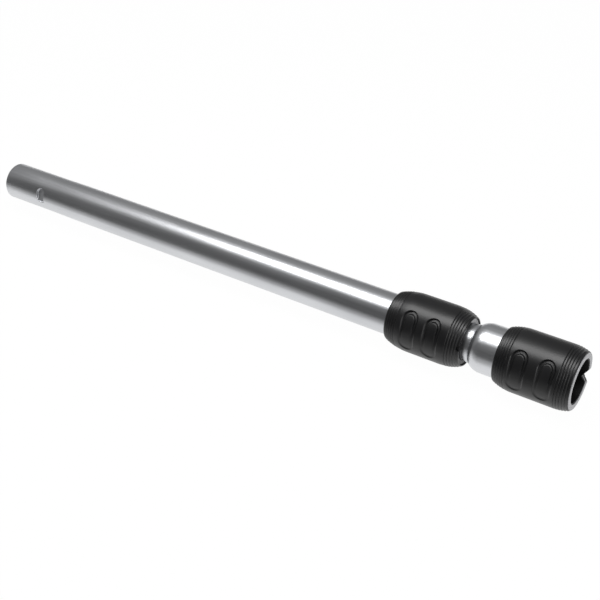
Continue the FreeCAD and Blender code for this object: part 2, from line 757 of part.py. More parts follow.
def make_lock_sleeve():
    rear_arc = taper_radius(size.lock_rear_taper, lock_end_radius, lock_radius)
    mouth_arc = taper_radius(size.lock_mouth_taper, lock_end_radius, lock_radius)
    lip_bore = size.tube_radius + size.free_fit
    lip_end = lock_start + size.lock_lip
    body = turned("lock_sleeve_turned", [
        (lock_start, lip_bore),
        (lip_end, lip_bore),
        (lip_end, lock_chamber_radius),
        (lock_shoulder, lock_chamber_radius),
        (lock_shoulder, lock_bore),
        (lock_stop, lock_bore),
        (lock_stop, lock_stop_radius),
        (lock_end, lock_stop_radius),
        (lock_end, lock_end_radius, mouth_arc, 1),
        (lock_end - size.lock_mouth_taper, lock_radius),
        (lock_start + size.lock_rear_taper, lock_radius, rear_arc, 1),
        (lock_start, lock_end_radius),
    ])
    groove_rings(body, end_grooves(lock_start, 1, size.lock_rear_taper, lock_end_radius, lock_radius)
                 + end_grooves(lock_end, -1, size.lock_mouth_taper, lock_end_radius, lock_radius))
    crest = roller_rest + size.roller_radius + size.cam_gap
    cam_start = roller_place - size.stroke - window_half_width
    slope_start = roller_place + size.cam_lead
    slope_end = slope_start + size.stroke + size.cam_overrun
    cam_end = slope_end + size.cam_rest
    high = crest + size.cam_rise
    pocket(body, "roller_cam", "XZ_Plane", [[
        (cam_start, roller_rest),
        (cam_end, roller_rest),
        (cam_end, high),
        (slope_end, high),
        (slope_start, crest),
        (cam_start, crest),
    ]], window_half_length * 2, both_sides=True)
    pocket(body, "sleeve_notch", "XZ_Plane", [[
        (lock_end - size.sleeve_notch_depth, -size.sleeve_notch_half / 2),
        (lock_end + size.free_fit, -size.sleeve_notch_half),
        (lock_end + size.free_fit, size.sleeve_notch_half),
        (lock_end - size.sleeve_notch_depth, size.sleeve_notch_half / 2),
    ]], reach, back=True)
    return cut_finger_ovals("lock_sleeve", body, lock_start + size.lock_oval_place, size.lock_oval_pitch,
                            lock_radius)


def make_socket_sleeve():
    neck_arc = taper_radius(size.socket_neck_taper, coupling_neck_radius, coupling_radius)
    mouth_arc = taper_radius(size.socket_mouth_taper, coupling_mouth_radius, coupling_radius)
    lip_end = coupling_start + size.socket_lip
    body = turned("socket_sleeve_turned", [
        (coupling_start, coupling_bore),
        (lip_end, coupling_bore),
        (lip_end, coupling_chamber_radius),
        (coupling_shoulder, coupling_chamber_radius),
        (coupling_shoulder, coupling_bore),
        (coupling_end, coupling_bore),
        (coupling_end, coupling_mouth_radius, mouth_arc, 1),
        (coupling_end - size.socket_mouth_taper, coupling_radius),
        (coupling_start + size.socket_neck_taper, coupling_radius, neck_arc, 1),
        (coupling_start, coupling_neck_radius),
    ])
    groove_rings(body, end_grooves(coupling_start, 1, size.socket_neck_taper, coupling_neck_radius,
                                   coupling_radius)
                 + end_grooves(coupling_end, -1, size.socket_mouth_taper, coupling_mouth_radius,
                               coupling_radius))
    crest = latch_top + size.free_fit
    slope_start = latch_place + size.latch_lead
    slope_end = latch_place + size.stroke
    high = crest + size.cam_rise
    cam_start = latch_place - size.latch_head - size.free_fit
    pocket(body, "latch_cam", "XZ_Plane", [[
        (cam_start, socket_bore),
        (slope_end + size.latch_head + size.free_fit, socket_bore),
        (slope_end + size.latch_head + size.free_fit, high),
        (slope_end, high),
        (slope_start, crest),
        (cam_start, crest),
    ]], latch_window_length * 2, both_sides=True)
    pocket(body, "sleeve_key_notch", "XZ_Plane", [key_notch(size.free_fit)], reach)
    return cut_finger_ovals("socket_sleeve", body, coupling_start + size.socket_oval_place,
                            size.socket_oval_pitch, coupling_radius)


def key_notch(margin):
    """Uneven V at the mouth, seen from the back of the wand; margin widens it."""
    beyond = mouth + size.free_fit
    return [
        (mouth - size.notch_depth - margin, -size.notch_skew),
        (beyond, -size.notch_lower - margin),
        (beyond, size.notch_upper + margin),
    ]


# Socket pieces

def make_socket_liner():
    lip_end = liner_start + size.liner_lip
    land_start = liner_end - size.liner_land
    relief = size.liner_bore + size.liner_relief
    body = turned("socket_liner", [
        (liner_start, size.liner_lip_bore),
        (lip_end, size.liner_lip_bore),
        (lip_end, size.liner_bore),
        (lip_end + size.liner_foot, size.liner_bore),
        (lip_end + size.liner_foot + size.liner_relief, relief),
        (land_start - size.liner_relief, relief),
        (land_start, size.liner_bore),
        (liner_end, size.liner_bore),
        (liner_end, liner_radius),
        (liner_start, liner_radius),
    ])
    pocket(body, "liner_window", "XY_Plane", [
        box_outline(latch_place - latch_window_half, latch_place + latch_window_half,
                    -latch_window_length, latch_window_length),
    ], reach, back=True)
    pocket(body, "liner_key_notch", "XZ_Plane", [key_notch(as_dim(0))], reach)
    return body


def make_socket_seal():
    """Rubber ring against the stop lip that seals the end of the tube pushed in."""
    start = liner_start + size.liner_lip + size.seat_fit
    return turned("socket_seal", box_outline(
        start, start + size.seal_thickness, size.seal_bore, size.liner_bore - size.seat_fit))


def make_socket_latch():
    """T-shaped latch: round nose through the socket wall, wide head under the sleeve."""
    half = size.latch_half_width
    centre = latch_place
    nose = size.liner_bore - size.latch_nose
    head_top = latch_foot + size.latch_ledge
    hump = size.latch_hump
    crown_rise = latch_top - head_top
    crown_arc = (hump * hump + crown_rise * crown_rise) / (crown_rise * 2)
    body = new_body("socket_latch")
    pad(body, "latch_block", "XZ_Plane", [[
        (centre - half, nose + half, HALF_ROUND, 1),
        (centre + half, nose + half),
        (centre + half, latch_foot),
        (centre + size.latch_head, latch_foot),
        (centre + size.latch_head, head_top),
        (centre + hump, head_top, crown_arc, 1),
        (centre - hump, head_top),
        (centre - size.latch_head, head_top),
        (centre - size.latch_head, latch_foot),
        (centre - half, latch_foot),
    ]], size.latch_length, both_sides=True)
    return body


def make_spring_seat_ring():
    """Ring pressed on the socket that carries the socket spring."""
    return turned("spring_seat_ring", box_outline(
        seat_start, seat_end, size.socket_radius + size.seat_fit, seat_radius))


def make_socket_end_ring():
    """Pale ring at the mouth of the socket, with the key notch."""
    flange = liner_end + size.seat_fit
    skirt_start = socket_end + size.seat_fit
    body = turned("socket_end_ring", [
        (skirt_start, liner_radius + size.seat_fit),
        (flange, liner_radius + size.seat_fit),
        (flange, size.ring_bore),
        (mouth - size.ring_bevel, size.ring_bore),
        (mouth, size.ring_bore + size.ring_bevel),
        (mouth, size.ring_radius - size.tube_edge),
        (mouth - size.tube_edge, size.ring_radius),
        (flange, size.ring_radius),
        (flange, size.socket_radius),
        (skirt_start, size.socket_radius),
    ])
    pocket(body, "ring_key_notch", "XZ_Plane", [key_notch(as_dim(0))], reach)
    return body


PIECES = {
    "outer_tube": make_outer_tube(),
    "inner_tube": make_inner_tube(),
    "slide_ring": make_slide_ring(),
    "guide_bush": make_guide_bush(),
    "bush_pins": make_bush_pins(),
    "wiper_ring": make_wiper_ring(),
    "lock_end_ring": make_lock_end_ring(),
    "lock_snap_ring": make_lock_snap_ring(),
    "lock_washer": make_washer("lock_washer", lock_shoulder, size.bush_radius + size.free_fit,
                               lock_chamber_radius - size.seat_fit),
    "lock_spring": make_spring("lock_spring", cup_start + size.bush_flange_width,
                               lock_shoulder - size.washer_thickness - size.seat_fit,
                               size.lock_spring_radius, size.lock_spring_turns),
    "lock_roller": make_lock_roller(),
    "lock_sleeve": make_lock_sleeve(),
    "socket_liner": make_socket_liner(),
    "socket_seal": make_socket_seal(),
    "socket_latch": make_socket_latch(),
    "spring_seat_ring": make_spring_seat_ring(),
    "socket_washer": make_washer("socket_washer", coupling_shoulder, coupling_bore,
                                 coupling_chamber_radius - size.seat_fit),
    "socket_spring": make_spring("socket_spring", seat_end,
                                 coupling_shoulder - size.washer_thickness - size.seat_fit,
                                 size.socket_spring_radius, size.socket_spring_turns),
    "socket_sleeve": make_socket_sleeve(),
    "socket_end_ring": make_socket_end_ring(),
}


def lay_down(piece):
    """Roll a piece about the wand's axis as the wand lies."""
    piece.Placement = FreeCAD.Placement(
        FreeCAD.Vector(0, 0, 0), FreeCAD.Rotation(FreeCAD.Vector(1, 0, 0), -size.roll.value))
    piece.setExpression("Placement.Rotation.Angle", f"-1 * {size.roll.formula}")


for node, piece in PIECES.items():
    piece.Label = node
    lay_down(piece)
doc.recompute()

for item in doc.Objects:
    if "Invalid" in item.State or "Error" in item.State:
        raise RuntimeError(f"{item.Name} failed: {item.State}")
for node, piece in PIECES.items():
    if piece.Shape.isNull() or not piece.Shape.isValid():
        raise RuntimeError(f"{node} has no valid shape")

os.makedirs("parts", exist_ok=True)
for node, piece in PIECES.items():
    piece.Shape.exportStep(f"parts/{node}.step")
    box = piece.Shape.BoundBox
    print(f"{node}: {len(piece.Shape.Solids)} solid(s), {piece.Shape.Volume:.0f} mm3, "
          f"x {box.XMin:.2f} to {box.XMax:.2f}, radius {box.ZMax:.2f}")
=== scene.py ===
import math

import bmesh
import bpy
from mathutils import Matrix, Vector


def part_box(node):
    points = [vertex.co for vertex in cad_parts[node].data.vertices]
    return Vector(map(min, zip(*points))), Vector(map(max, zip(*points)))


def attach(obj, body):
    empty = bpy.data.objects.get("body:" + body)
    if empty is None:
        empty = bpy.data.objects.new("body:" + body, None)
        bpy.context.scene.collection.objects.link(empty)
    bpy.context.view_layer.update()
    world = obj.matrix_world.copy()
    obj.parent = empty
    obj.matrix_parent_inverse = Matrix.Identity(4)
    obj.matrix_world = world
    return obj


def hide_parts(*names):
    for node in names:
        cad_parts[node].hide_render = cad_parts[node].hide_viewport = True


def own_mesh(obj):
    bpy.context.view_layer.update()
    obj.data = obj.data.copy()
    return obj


# Telescopic vacuum wand, lying pushed in on a pale floor.
# Pieces are drawn in millimetres about the X axis, front line on -Y and lock line on +Z,
# then rolled as the wand lies and brought to metres.

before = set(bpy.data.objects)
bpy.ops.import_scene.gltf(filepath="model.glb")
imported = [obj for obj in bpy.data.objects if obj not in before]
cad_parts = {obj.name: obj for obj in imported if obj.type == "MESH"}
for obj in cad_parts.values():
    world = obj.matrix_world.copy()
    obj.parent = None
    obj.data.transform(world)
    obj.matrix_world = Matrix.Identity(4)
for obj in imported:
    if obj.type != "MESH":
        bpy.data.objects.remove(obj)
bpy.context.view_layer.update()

ROLL_DEGREES = -15.0
MM_PER_M = 1000.0
TO_FRAME = Matrix.Rotation(math.radians(ROLL_DEGREES), 4, "X") @ Matrix.Scale(1.0 / MM_PER_M, 4)

# Tube sizes in millimetres
TUBE_RADIUS = 17.5
TUBE_WALL = 0.8
TUBE_BORE = TUBE_RADIUS - TUBE_WALL
TUBE_LENGTH = 456.0
SPIGOT_RADIUS = 17.2
SPIGOT_BORE = SPIGOT_RADIUS - TUBE_WALL
SPIGOT_LENGTH = 53.0
SPIGOT_BLEND = 36.0
BORE_STEP = 0.3
INNER_RADIUS = 15.5
INNER_BORE = INNER_RADIUS - TUBE_WALL
INNER_START = 56.0
NECK_END = 502.2
SHOULDER_END = 513.0
SOCKET_RADIUS = 20.45
SOCKET_BORE = SOCKET_RADIUS - TUBE_WALL
SOCKET_END = 583.6
CREASE = 0.35
NECK_FLARE_START = 497.0
NECK_FLARE_RADIUS = 16.2
CHANNEL = (71.0, 480.0)
CHANNEL_HALF_WIDTH = 4.8
CHANNEL_FLOOR = 14.2
CHANNEL_RIM = 0.25
CHANNEL_RAMP = 1.0
CHANNEL_LIMIT = 500.0
POCKET_PLACE = 46.0
POCKET_HALF_WIDTH = 4.2
POCKET_HALF_HEIGHT = 6.4
POCKET_FLOOR = 14.7
POCKET_RIM = (0.45, -0.35)
POCKET_REACH = (8.0, 12.0)
LATCH_PLACE = 567.5
LATCH_WINDOW = (2.6, 4.3)
LINER_START = 516.0
LINER_FOOT_END = 518.5
LINER_END = 588.1
LINER_FOOT_BORE = 15.0
LINER_BORE = 17.65
LINER_RADIUS = 19.6
LINER_RELIEF = (530.5, 572.1)
LINER_RELIEF_SLOPE = 0.5
LINER_RELIEF_BORE = 18.15

# Release sleeve, in millimetres
LOCK_START = 430.3
LOCK_END = 496.7
LOCK_RADIUS = 24.8
LOCK_END_RADIUS = 20.5
LOCK_MOUTH_RADIUS = 20.4
LOCK_COUNTERBORE = 19.6
LOCK_REAR_TAPER = 20.0
LOCK_MOUTH_TAPER = 17.0
LOCK_OVALS = 462.5
LOCK_OVAL_PITCH = 20.0
LOCK_NOTCH_DEPTH = 2.4
LOCK_NOTCH_HALF = 2.6
LOCK_NOTCH_FLOOR = 19.75
LOCK_REAR_BORE = 17.8
LOCK_CHAMBER = (433.5, 455.0)
LOCK_CHAMBER_RADIUS = 20.1
LOCK_GUIDE_BORE = 18.6
LOCK_COUNTERBORE_FOOT = 483.7
LOCK_CAM_HALF = 4.8
LOCK_CAM = [(461.2, 16.8), (481.0, 16.8), (481.0, 21.0), (478.0, 21.0), (470.5, 19.5), (461.2, 19.5)]
RELEASE_RING_REAR = 486.75
RELEASE_RING_LIP = 494.2
RELEASE_RING_FACE = 495.7
RELEASE_RING_SEAT = 17.65
RELEASE_RING_BORE = 15.7
RELEASE_RING_RADIUS = 19.3

# Coupling sleeve, in millimetres
COUPLING_START = 525.8
COUPLING_END = 588.0
COUPLING_RADIUS = 26.0
COUPLING_NECK_RADIUS = 22.4
COUPLING_MOUTH_RADIUS = 23.7
COUPLING_NECK_TAPER = 16.0
COUPLING_MOUTH_TAPER = 12.0
COUPLING_BORE = 20.75
COUPLING_OVALS = 556.7
COUPLING_OVAL_PITCH = 22.0
COUPLING_CHAMBER = (529.3, 547.8)
COUPLING_CHAMBER_RADIUS = 22.3
COUPLING_CAM_HALF = 4.3
COUPLING_CAM = [
    (563.9, 19.65), (577.1, 19.65), (577.1, 23.75), (573.5, 23.75), (568.4, 22.25), (563.9, 22.25),
]

# Relief on both sleeves, in millimetres
OVAL_WIDTH = 13.8
OVAL_HEIGHT = 33.4
OVAL_TRENCH = 3.0
OVAL_DEPTH = 1.8
OVAL_FOOT_DEPTH = 0.8
PAD_DROP_TOP = 0.3
PAD_DROP_FOOT = 0.75
OVAL_RIM_WALL = 1.15
OVAL_RIM_ROUND = 0.15
OVAL_SOFTNESS = 0.4
GROOVES_PER_END = 5
GROOVE_MARGIN = 1.8
GROOVE_PITCH = 2.1
GROOVE_WIDTH = 0.9
GROOVE_DEPTH = 0.45
GROOVE_LIP = 1.15
LAND_LEVEL = 0.95

# Mouth of the socket, in millimetres
MOUTH = 588.75
RING_REAR = 583.65
RING_SEAT = 19.65
RING_FLANGE = 588.15
RING_RADIUS = 23.2
RING_BORE = 18.6
NOTCH_DEPTH = 4.5
NOTCH_SKEW = 2.7
NOTCH_UPPER = 4.8
NOTCH_LOWER = 7.6
NOTCH_MARGIN = 0.3

# Return springs, in millimetres
WIRE_RADIUS = 0.5
RELEASE_SPRING_RADIUS = 19.3
RELEASE_SPRING_TURNS = 5
COUPLING_SPRING_RADIUS = 21.5
COUPLING_SPRING_TURNS = 4

# Fineness of the meshes: counts, steps in millimetres, rows in shares of a groove or millimetres
FILLET_STEPS = 4
TAPER_STEPS = 14
PLAIN_TURN_STEPS = 160
GROOVE_ROWS = (-0.25, -0.08, 0.08, 0.22, 0.36, 0.5, 0.64, 0.78, 0.92, 1.08, 1.25)
ROW_STEP = 0.27
ROW_GAP = 0.09
POCKET_ROWS_REACH = 5.0
POCKET_ROW_STEP = 0.2
TUBE_ROW_STEP = 40.0
OUTER_TUBE_ROWS = 10
INNER_TUBE_ROWS = 9
CHANNEL_END_ROWS = (-1.0, -0.5, 0.0, 0.5, 1.0)
WIRE_SIDES = 12
STEPS_PER_TURN = 72
SHARP_DEGREES = 38.0
CUTTER_REACH = 40.0

# Angles round the wand, in degrees
FRONT = 0.0
LOCK_LINE = 90.0
BACK = 180.0

# Patterns of the materials: noise scales per metre, bumps as strength and height in metres
PATTERN_RANGE = (0.3, 0.7)
DRAWN_LINES_SCALE = 900.0
DRAWN_LINES_STRETCH = (0.012, 1.0, 1.0)
DRAWN_LINES_BUMP = (0.05, 0.0001)
CLOUD_SCALE = 34.0
CLOUD_STRETCH = (0.35, 1.0, 1.0)
FLOW_SCALE = 60.0
FLOW_STRETCH = (0.5, 1.0, 1.0)
MOULD_GRAIN_HEIGHT = 0.00015
FIBRE_SCALE = 1400.0
FIBRE_STRETCH = (1.0, 0.4, 0.4)
FIBRE_BUMP = (0.7, 0.0004)

# Painted highlight on the release mouth ring: a pale patch painted at its top, where light reaches it;
# direction from the axis, its edge and the edge's blur in metres
PAINTED_HIGHLIGHT_DIRECTION = (0.0, 0.629, 0.777)
PAINTED_HIGHLIGHT_EDGE = 0.0148
PAINTED_HIGHLIGHT_BLUR = 0.0002


# Node helpers for materials

def new_material(name):
    material = bpy.data.materials.new(name)
    material.use_nodes = True
    return material, material.node_tree, material.node_tree.nodes["Principled BSDF"]


def grain(tree, scale, stretch=(1.0, 1.0, 1.0), detail=3.0):
    """Noise over Object coordinates, in metres, stretched along the wand where asked."""
    coordinates = tree.nodes.new("ShaderNodeTexCoord")
    mapping = tree.nodes.new("ShaderNodeMapping")
    mapping.inputs["Scale"].default_value = stretch
    noise = tree.nodes.new("ShaderNodeTexNoise")
    noise.inputs["Scale"].default_value = scale
    noise.inputs["Detail"].default_value = detail
    tree.links.new(coordinates.outputs["Object"], mapping.inputs["Vector"])
    tree.links.new(mapping.outputs["Vector"], noise.inputs["Vector"])
    return noise.outputs["Fac"]


def spread(tree, factor, low, high, span=PATTERN_RANGE):
    """Maps a pattern that runs over a span to a range of values."""
    ranged = tree.nodes.new("ShaderNodeMapRange")
    ranged.inputs["From Min"].default_value = span[0]
    ranged.inputs["From Max"].default_value = span[1]
    ranged.inputs["To Min"].default_value = low
    ranged.inputs["To Max"].default_value = high
    tree.links.new(factor, ranged.inputs["Value"])
    return ranged.outputs["Result"]


def tint(tree, factor, dark, light):
    """Colour between two close shades, by a 0 to 1 pattern."""
    ramp = tree.nodes.new("ShaderNodeValToRGB")
    for element, place, shade in zip(ramp.color_ramp.elements, PATTERN_RANGE, (dark, light)):
        element.position = place
        element.color = (*shade, 1.0)
    tree.links.new(factor, ramp.inputs["Fac"])
    return ramp.outputs["Color"]


def bump(tree, height, strength, distance):
    node = tree.nodes.new("ShaderNodeBump")
    node.inputs["Strength"].default_value = strength
    node.inputs["Distance"].default_value = distance
    tree.links.new(height, node.inputs["Height"])
    return node.outputs["Normal"]


def drawn_metal(name, dark, light, rough):
    """Metal drawn through a die: fine lines along the wand, faint cloudy handling marks."""
    material, tree, shader = new_material(name)
    shader.inputs["Metallic"].default_value = 1.0
    lines = grain(tree, DRAWN_LINES_SCALE, DRAWN_LINES_STRETCH)
    clouds = grain(tree, CLOUD_SCALE, CLOUD_STRETCH, detail=4.0)
    tree.links.new(tint(tree, clouds, dark, light), shader.inputs["Base Color"])
    tree.links.new(spread(tree, lines, *rough), shader.inputs["Roughness"])
    tree.links.new(bump(tree, lines, *DRAWN_LINES_BUMP), shader.inputs["Normal"])
    return material


def moulded_plastic(name, dark, light, rough, texture_scale, texture_strength, gloss=0.5):
    """Injection moulded plastic: fine spark-eroded grain over a faint flow in colour and gloss."""
    material, tree, shader = new_material(name)
    shader.inputs["Specular IOR Level"].default_value = gloss
    texture = grain(tree, texture_scale, detail=2.0)
    flow = grain(tree, FLOW_SCALE, FLOW_STRETCH)
    tree.links.new(tint(tree, flow, dark, light), shader.inputs["Base Color"])
    tree.links.new(spread(tree, flow, *rough), shader.inputs["Roughness"])
    tree.links.new(bump(tree, texture, texture_strength, MOULD_GRAIN_HEIGHT), shader.inputs["Normal"])
    return material


def ring_plastic_painted_highlight(name, black, pale, rough):
    """Black moulding with a pale patch painted at the top of the ring as a highlight, where the light falls
    on it.
    """
    material, tree, shader = new_material(name)
    coordinates = tree.nodes.new("ShaderNodeTexCoord")
    towards_painted_highlight = tree.nodes.new("ShaderNodeVectorMath")
    towards_painted_highlight.operation = "DOT_PRODUCT"
    towards_painted_highlight.inputs[1].default_value = PAINTED_HIGHLIGHT_DIRECTION
    tree.links.new(coordinates.outputs["Object"], towards_painted_highlight.inputs[0])
    edge = (PAINTED_HIGHLIGHT_EDGE - PAINTED_HIGHLIGHT_BLUR, PAINTED_HIGHLIGHT_EDGE + PAINTED_HIGHLIGHT_BLUR)
    painted_highlight = spread(tree, towards_painted_highlight.outputs["Value"], 0.0, 1.0, edge)
    shade = tree.nodes.new("ShaderNodeMix")
    shade.data_type = "RGBA"
    shade.inputs["A"].default_value = (*black, 1.0)
    shade.inputs["B"].default_value = (*pale, 1.0)
    # pale only where the painted highlight lies, at the top of the ring
    tree.links.new(painted_highlight, shade.inputs["Factor"])
    tree.links.new(shade.outputs["Result"], shader.inputs["Base Color"])
    tree.links.new(spread(tree, grain(tree, FLOW_SCALE), *rough), shader.inputs["Roughness"])
    return material


def felted_wool(name, dark, light):
    """Pressed wool fibres: coarse soft noise with a little sheen."""
    material, tree, shader = new_material(name)
    shader.inputs["Roughness"].default_value = 0.95
    shader.inputs["Sheen Weight"].default_value = 0.4
    fibres = grain(tree, FIBRE_SCALE, FIBRE_STRETCH, detail=5.0)
    tree.links.new(tint(tree, fibres, dark, light), shader.inputs["Base Color"])
    tree.links.new(bump(tree, fibres, *FIBRE_BUMP), shader.inputs["Normal"])
    return material


TUBE_METAL = drawn_metal(
    "satin_drawn_metal", dark=(0.60, 0.61, 0.63), light=(0.68, 0.69, 0.71), rough=(0.29, 0.36))
SPRING_STEEL = drawn_metal(
    "bright_spring_wire", dark=(0.34, 0.34, 0.35), light=(0.45, 0.45, 0.46), rough=(0.22, 0.34))
BLACK_PLASTIC = moulded_plastic(
    "satin_black_moulding", dark=(0.0045, 0.0045, 0.005), light=(0.0065, 0.0065, 0.007),
    rough=(0.34, 0.40), texture_scale=2600.0, texture_strength=0.10)
LINER_PLASTIC = moulded_plastic(
    "matt_black_moulding", dark=(0.003, 0.003, 0.003), light=(0.0045, 0.0045, 0.0045),
    rough=(0.50, 0.60), texture_scale=2200.0, texture_strength=0.14, gloss=0.2)
PALE_PLASTIC = moulded_plastic(
    "pale_grey_moulding", dark=(0.27, 0.27, 0.28), light=(0.32, 0.32, 0.33),
    rough=(0.36, 0.44), texture_scale=2400.0, texture_strength=0.10)
# Ring colour: black, with its top painted pale as a highlight
RING_PLASTIC_PAINTED_HIGHLIGHT = ring_plastic_painted_highlight(
    "black_ring_moulding_painted_highlight", black=(0.006, 0.006, 0.0065), pale=(0.36, 0.36, 0.37), rough=(0.36, 0.44))
BUSH_PLASTIC = moulded_plastic(
    "dark_bush_moulding", dark=(0.050, 0.050, 0.054), light=(0.070, 0.070, 0.075),
    rough=(0.40, 0.50), texture_scale=1800.0, texture_strength=0.10)
SEAL_RUBBER = moulded_plastic(
    "soft_seal_rubber", dark=(0.018, 0.018, 0.018), light=(0.028, 0.028, 0.028),
    rough=(0.62, 0.74), texture_scale=1500.0, texture_strength=0.22)
WIPER_FELT = felted_wool("wiper_felt", dark=(0.16, 0.16, 0.17), light=(0.27, 0.27, 0.28))


# Turned outlines: closed loops of (along, radius), with rounded corners

def rounded_loop(corners):
    """Closed outline from (along, radius, fillet) corners, each fillet drawn as a short arc."""
    loop = []
    for index, (along, radius, fillet) in enumerate(corners):
        here = Vector((along, radius))
        if fillet <= 0.0:
            loop.append((along, radius))
            continue
        before = Vector(corners[index - 1][:2]) - here
        after = Vector(corners[(index + 1) % len(corners)][:2]) - here
        opening = before.angle(after)
        reach = fillet / math.tan(opening / 2)
        bisector = (before.normalized() + after.normalized()).normalized()
        centre = here + bisector * (fillet / math.sin(opening / 2))
        first = here + before.normalized() * reach - centre
        last = here + after.normalized() * reach - centre
        for step in range(FILLET_STEPS + 1):
            spoke = first.lerp(last, step / FILLET_STEPS).normalized() * fillet
            loop.append((centre.x + spoke.x, centre.y + spoke.y))
    return loop


def arc_height(distance, length, low, high):
    """Radius of a taper that rises as an arc from low to high over its length and ends level."""
    rise = high - low
    arc = (length * length + rise * rise) / (2 * rise)
    run = max(length - distance, 0.0)
    return high - arc + math.sqrt(arc * arc - run * run)


def even_angles(count):
    return [360.0 * step / count for step in range(count)]


def crowded_angles(centres, half_span, fine, coarse):
    """Angles round the wand, close together near the centres and wider apart elsewhere."""
    angles = []
    angle = 0.0
    while angle < 360.0 - fine / 2:
        angles.append(angle)
        near = min(abs((angle - centre + 180.0) % 360.0 - 180.0) for centre in centres)
        angle += fine if near < half_span else coarse
    return angles


def turned_mesh(name, loop, angles, outside_count=0):
    """Closed ring of quads from a loop turned about X, its first points marked as outside where asked."""
    points = []
    for along, radius in loop:
        for angle in angles:
            turn = math.radians(angle)
            points.append((along, -radius * math.cos(turn), radius * math.sin(turn)))
    rows = len(loop)
    columns = len(angles)
    faces = []
    for row in range(rows):
        following = (row + 1) % rows
        for column in range(columns):
            beside = (column + 1) % columns
            faces.append((row * columns + column, row * columns + beside,
                          following * columns + beside, following * columns + column))
    mesh = bpy.data.meshes.new(name)
    mesh.from_pydata(points, [], faces)
    if outside_count:
        outside = mesh.attributes.new("outside", "BOOLEAN", "POINT")
        marked = outside_count * columns
        outside.data.foreach_set("value", [index < marked for index in range(len(points))])
    turn_outwards(mesh)
    return mesh


def turn_outwards(mesh):
    shell = bmesh.new()
    shell.from_mesh(mesh)
    bmesh.ops.recalc_face_normals(shell, faces=shell.faces)
    shell.to_mesh(mesh)
    shell.free()


def place_piece(mesh, name, material, body, node):
    """Finishes a drawn mesh: rolls it as the wand lies, shades it and lets it stand for its CAD node."""
    mesh.transform(TO_FRAME)
    mesh.materials.clear()
    mesh.materials.append(material)
    for polygon in mesh.polygons:
        polygon.use_smooth = True
    mesh.set_sharp_from_angle(angle=math.radians(SHARP_DEGREES))
    piece = bpy.data.objects.new(name, mesh)
    bpy.context.collection.objects.link(piece)
    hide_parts(node)
    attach(piece, body)
    return piece


# Cutters for notches and windows

def prism(outline, sweep):
    """Solid from an outline swept along one axis: sweep is (axis letter, from, to)."""
    letter, low, high = sweep
    shell = bmesh.new()
    rings = []
    for level in (low, high):
        ring = []
        for first, second in outline:
            place = (first, level, second) if letter == "Y" else (first, second, level)
            ring.append(shell.verts.new(place))
        rings.append(ring)
    count = len(outline)
    shell.faces.new(rings[0])
    shell.faces.new(reversed(rings[1]))
    for index in range(count):
        beside = (index + 1) % count
        shell.faces.new((rings[0][index], rings[1][index], rings[1][beside], rings[0][beside]))
    bmesh.ops.recalc_face_normals(shell, faces=shell.faces)
    mesh = bpy.data.meshes.new("cutter")
    shell.to_mesh(mesh)
    shell.free()
    return mesh


def carve(mesh, cutters):
    """Cuts solids out of a drawn mesh and returns the plain result."""
    work = bpy.data.objects.new("carved_work", mesh)
    bpy.context.collection.objects.link(work)
    tools = []
    for cutter in cutters:
        tool = bpy.data.objects.new("cutter_work", cutter)
        bpy.context.collection.objects.link(tool)
        modifier = work.modifiers.new("cut", "BOOLEAN")
        modifier.operation = "DIFFERENCE"
        modifier.solver = "EXACT"
        modifier.object = tool
        tools.append(tool)
    carved = plain_mesh(work)
    for tool in tools:
        bpy.data.objects.remove(tool)
    bpy.data.objects.remove(work)
    return carved


def plain_mesh(work):
    """Mesh of an object with its modifiers applied."""
    bpy.context.view_layer.update()
    graph = bpy.context.evaluated_depsgraph_get()
    return bpy.data.meshes.new_from_object(work.evaluated_get(graph), depsgraph=graph)


def key_notch(margin):
    """Uneven V at the mouth on the back of the wand."""
    tip = MOUTH - NOTCH_DEPTH - margin
    beyond = MOUTH + NOTCH_MARGIN
    return prism([
        (tip, -NOTCH_SKEW),
        (beyond, -NOTCH_LOWER - margin),
        (beyond, NOTCH_UPPER + margin),
    ], ("Y", 0.0, CUTTER_REACH))


def latch_window():
    half_along, half_across = LATCH_WINDOW
    return prism([
        (LATCH_PLACE - half_along, -half_across),
        (LATCH_PLACE + half_along, -half_across),
        (LATCH_PLACE + half_along, half_across),
        (LATCH_PLACE - half_along, half_across),
    ], ("Z", 0.0, CUTTER_REACH))


# Geometry Nodes tree that presses turned grooves and finger ovals into a plain sleeve

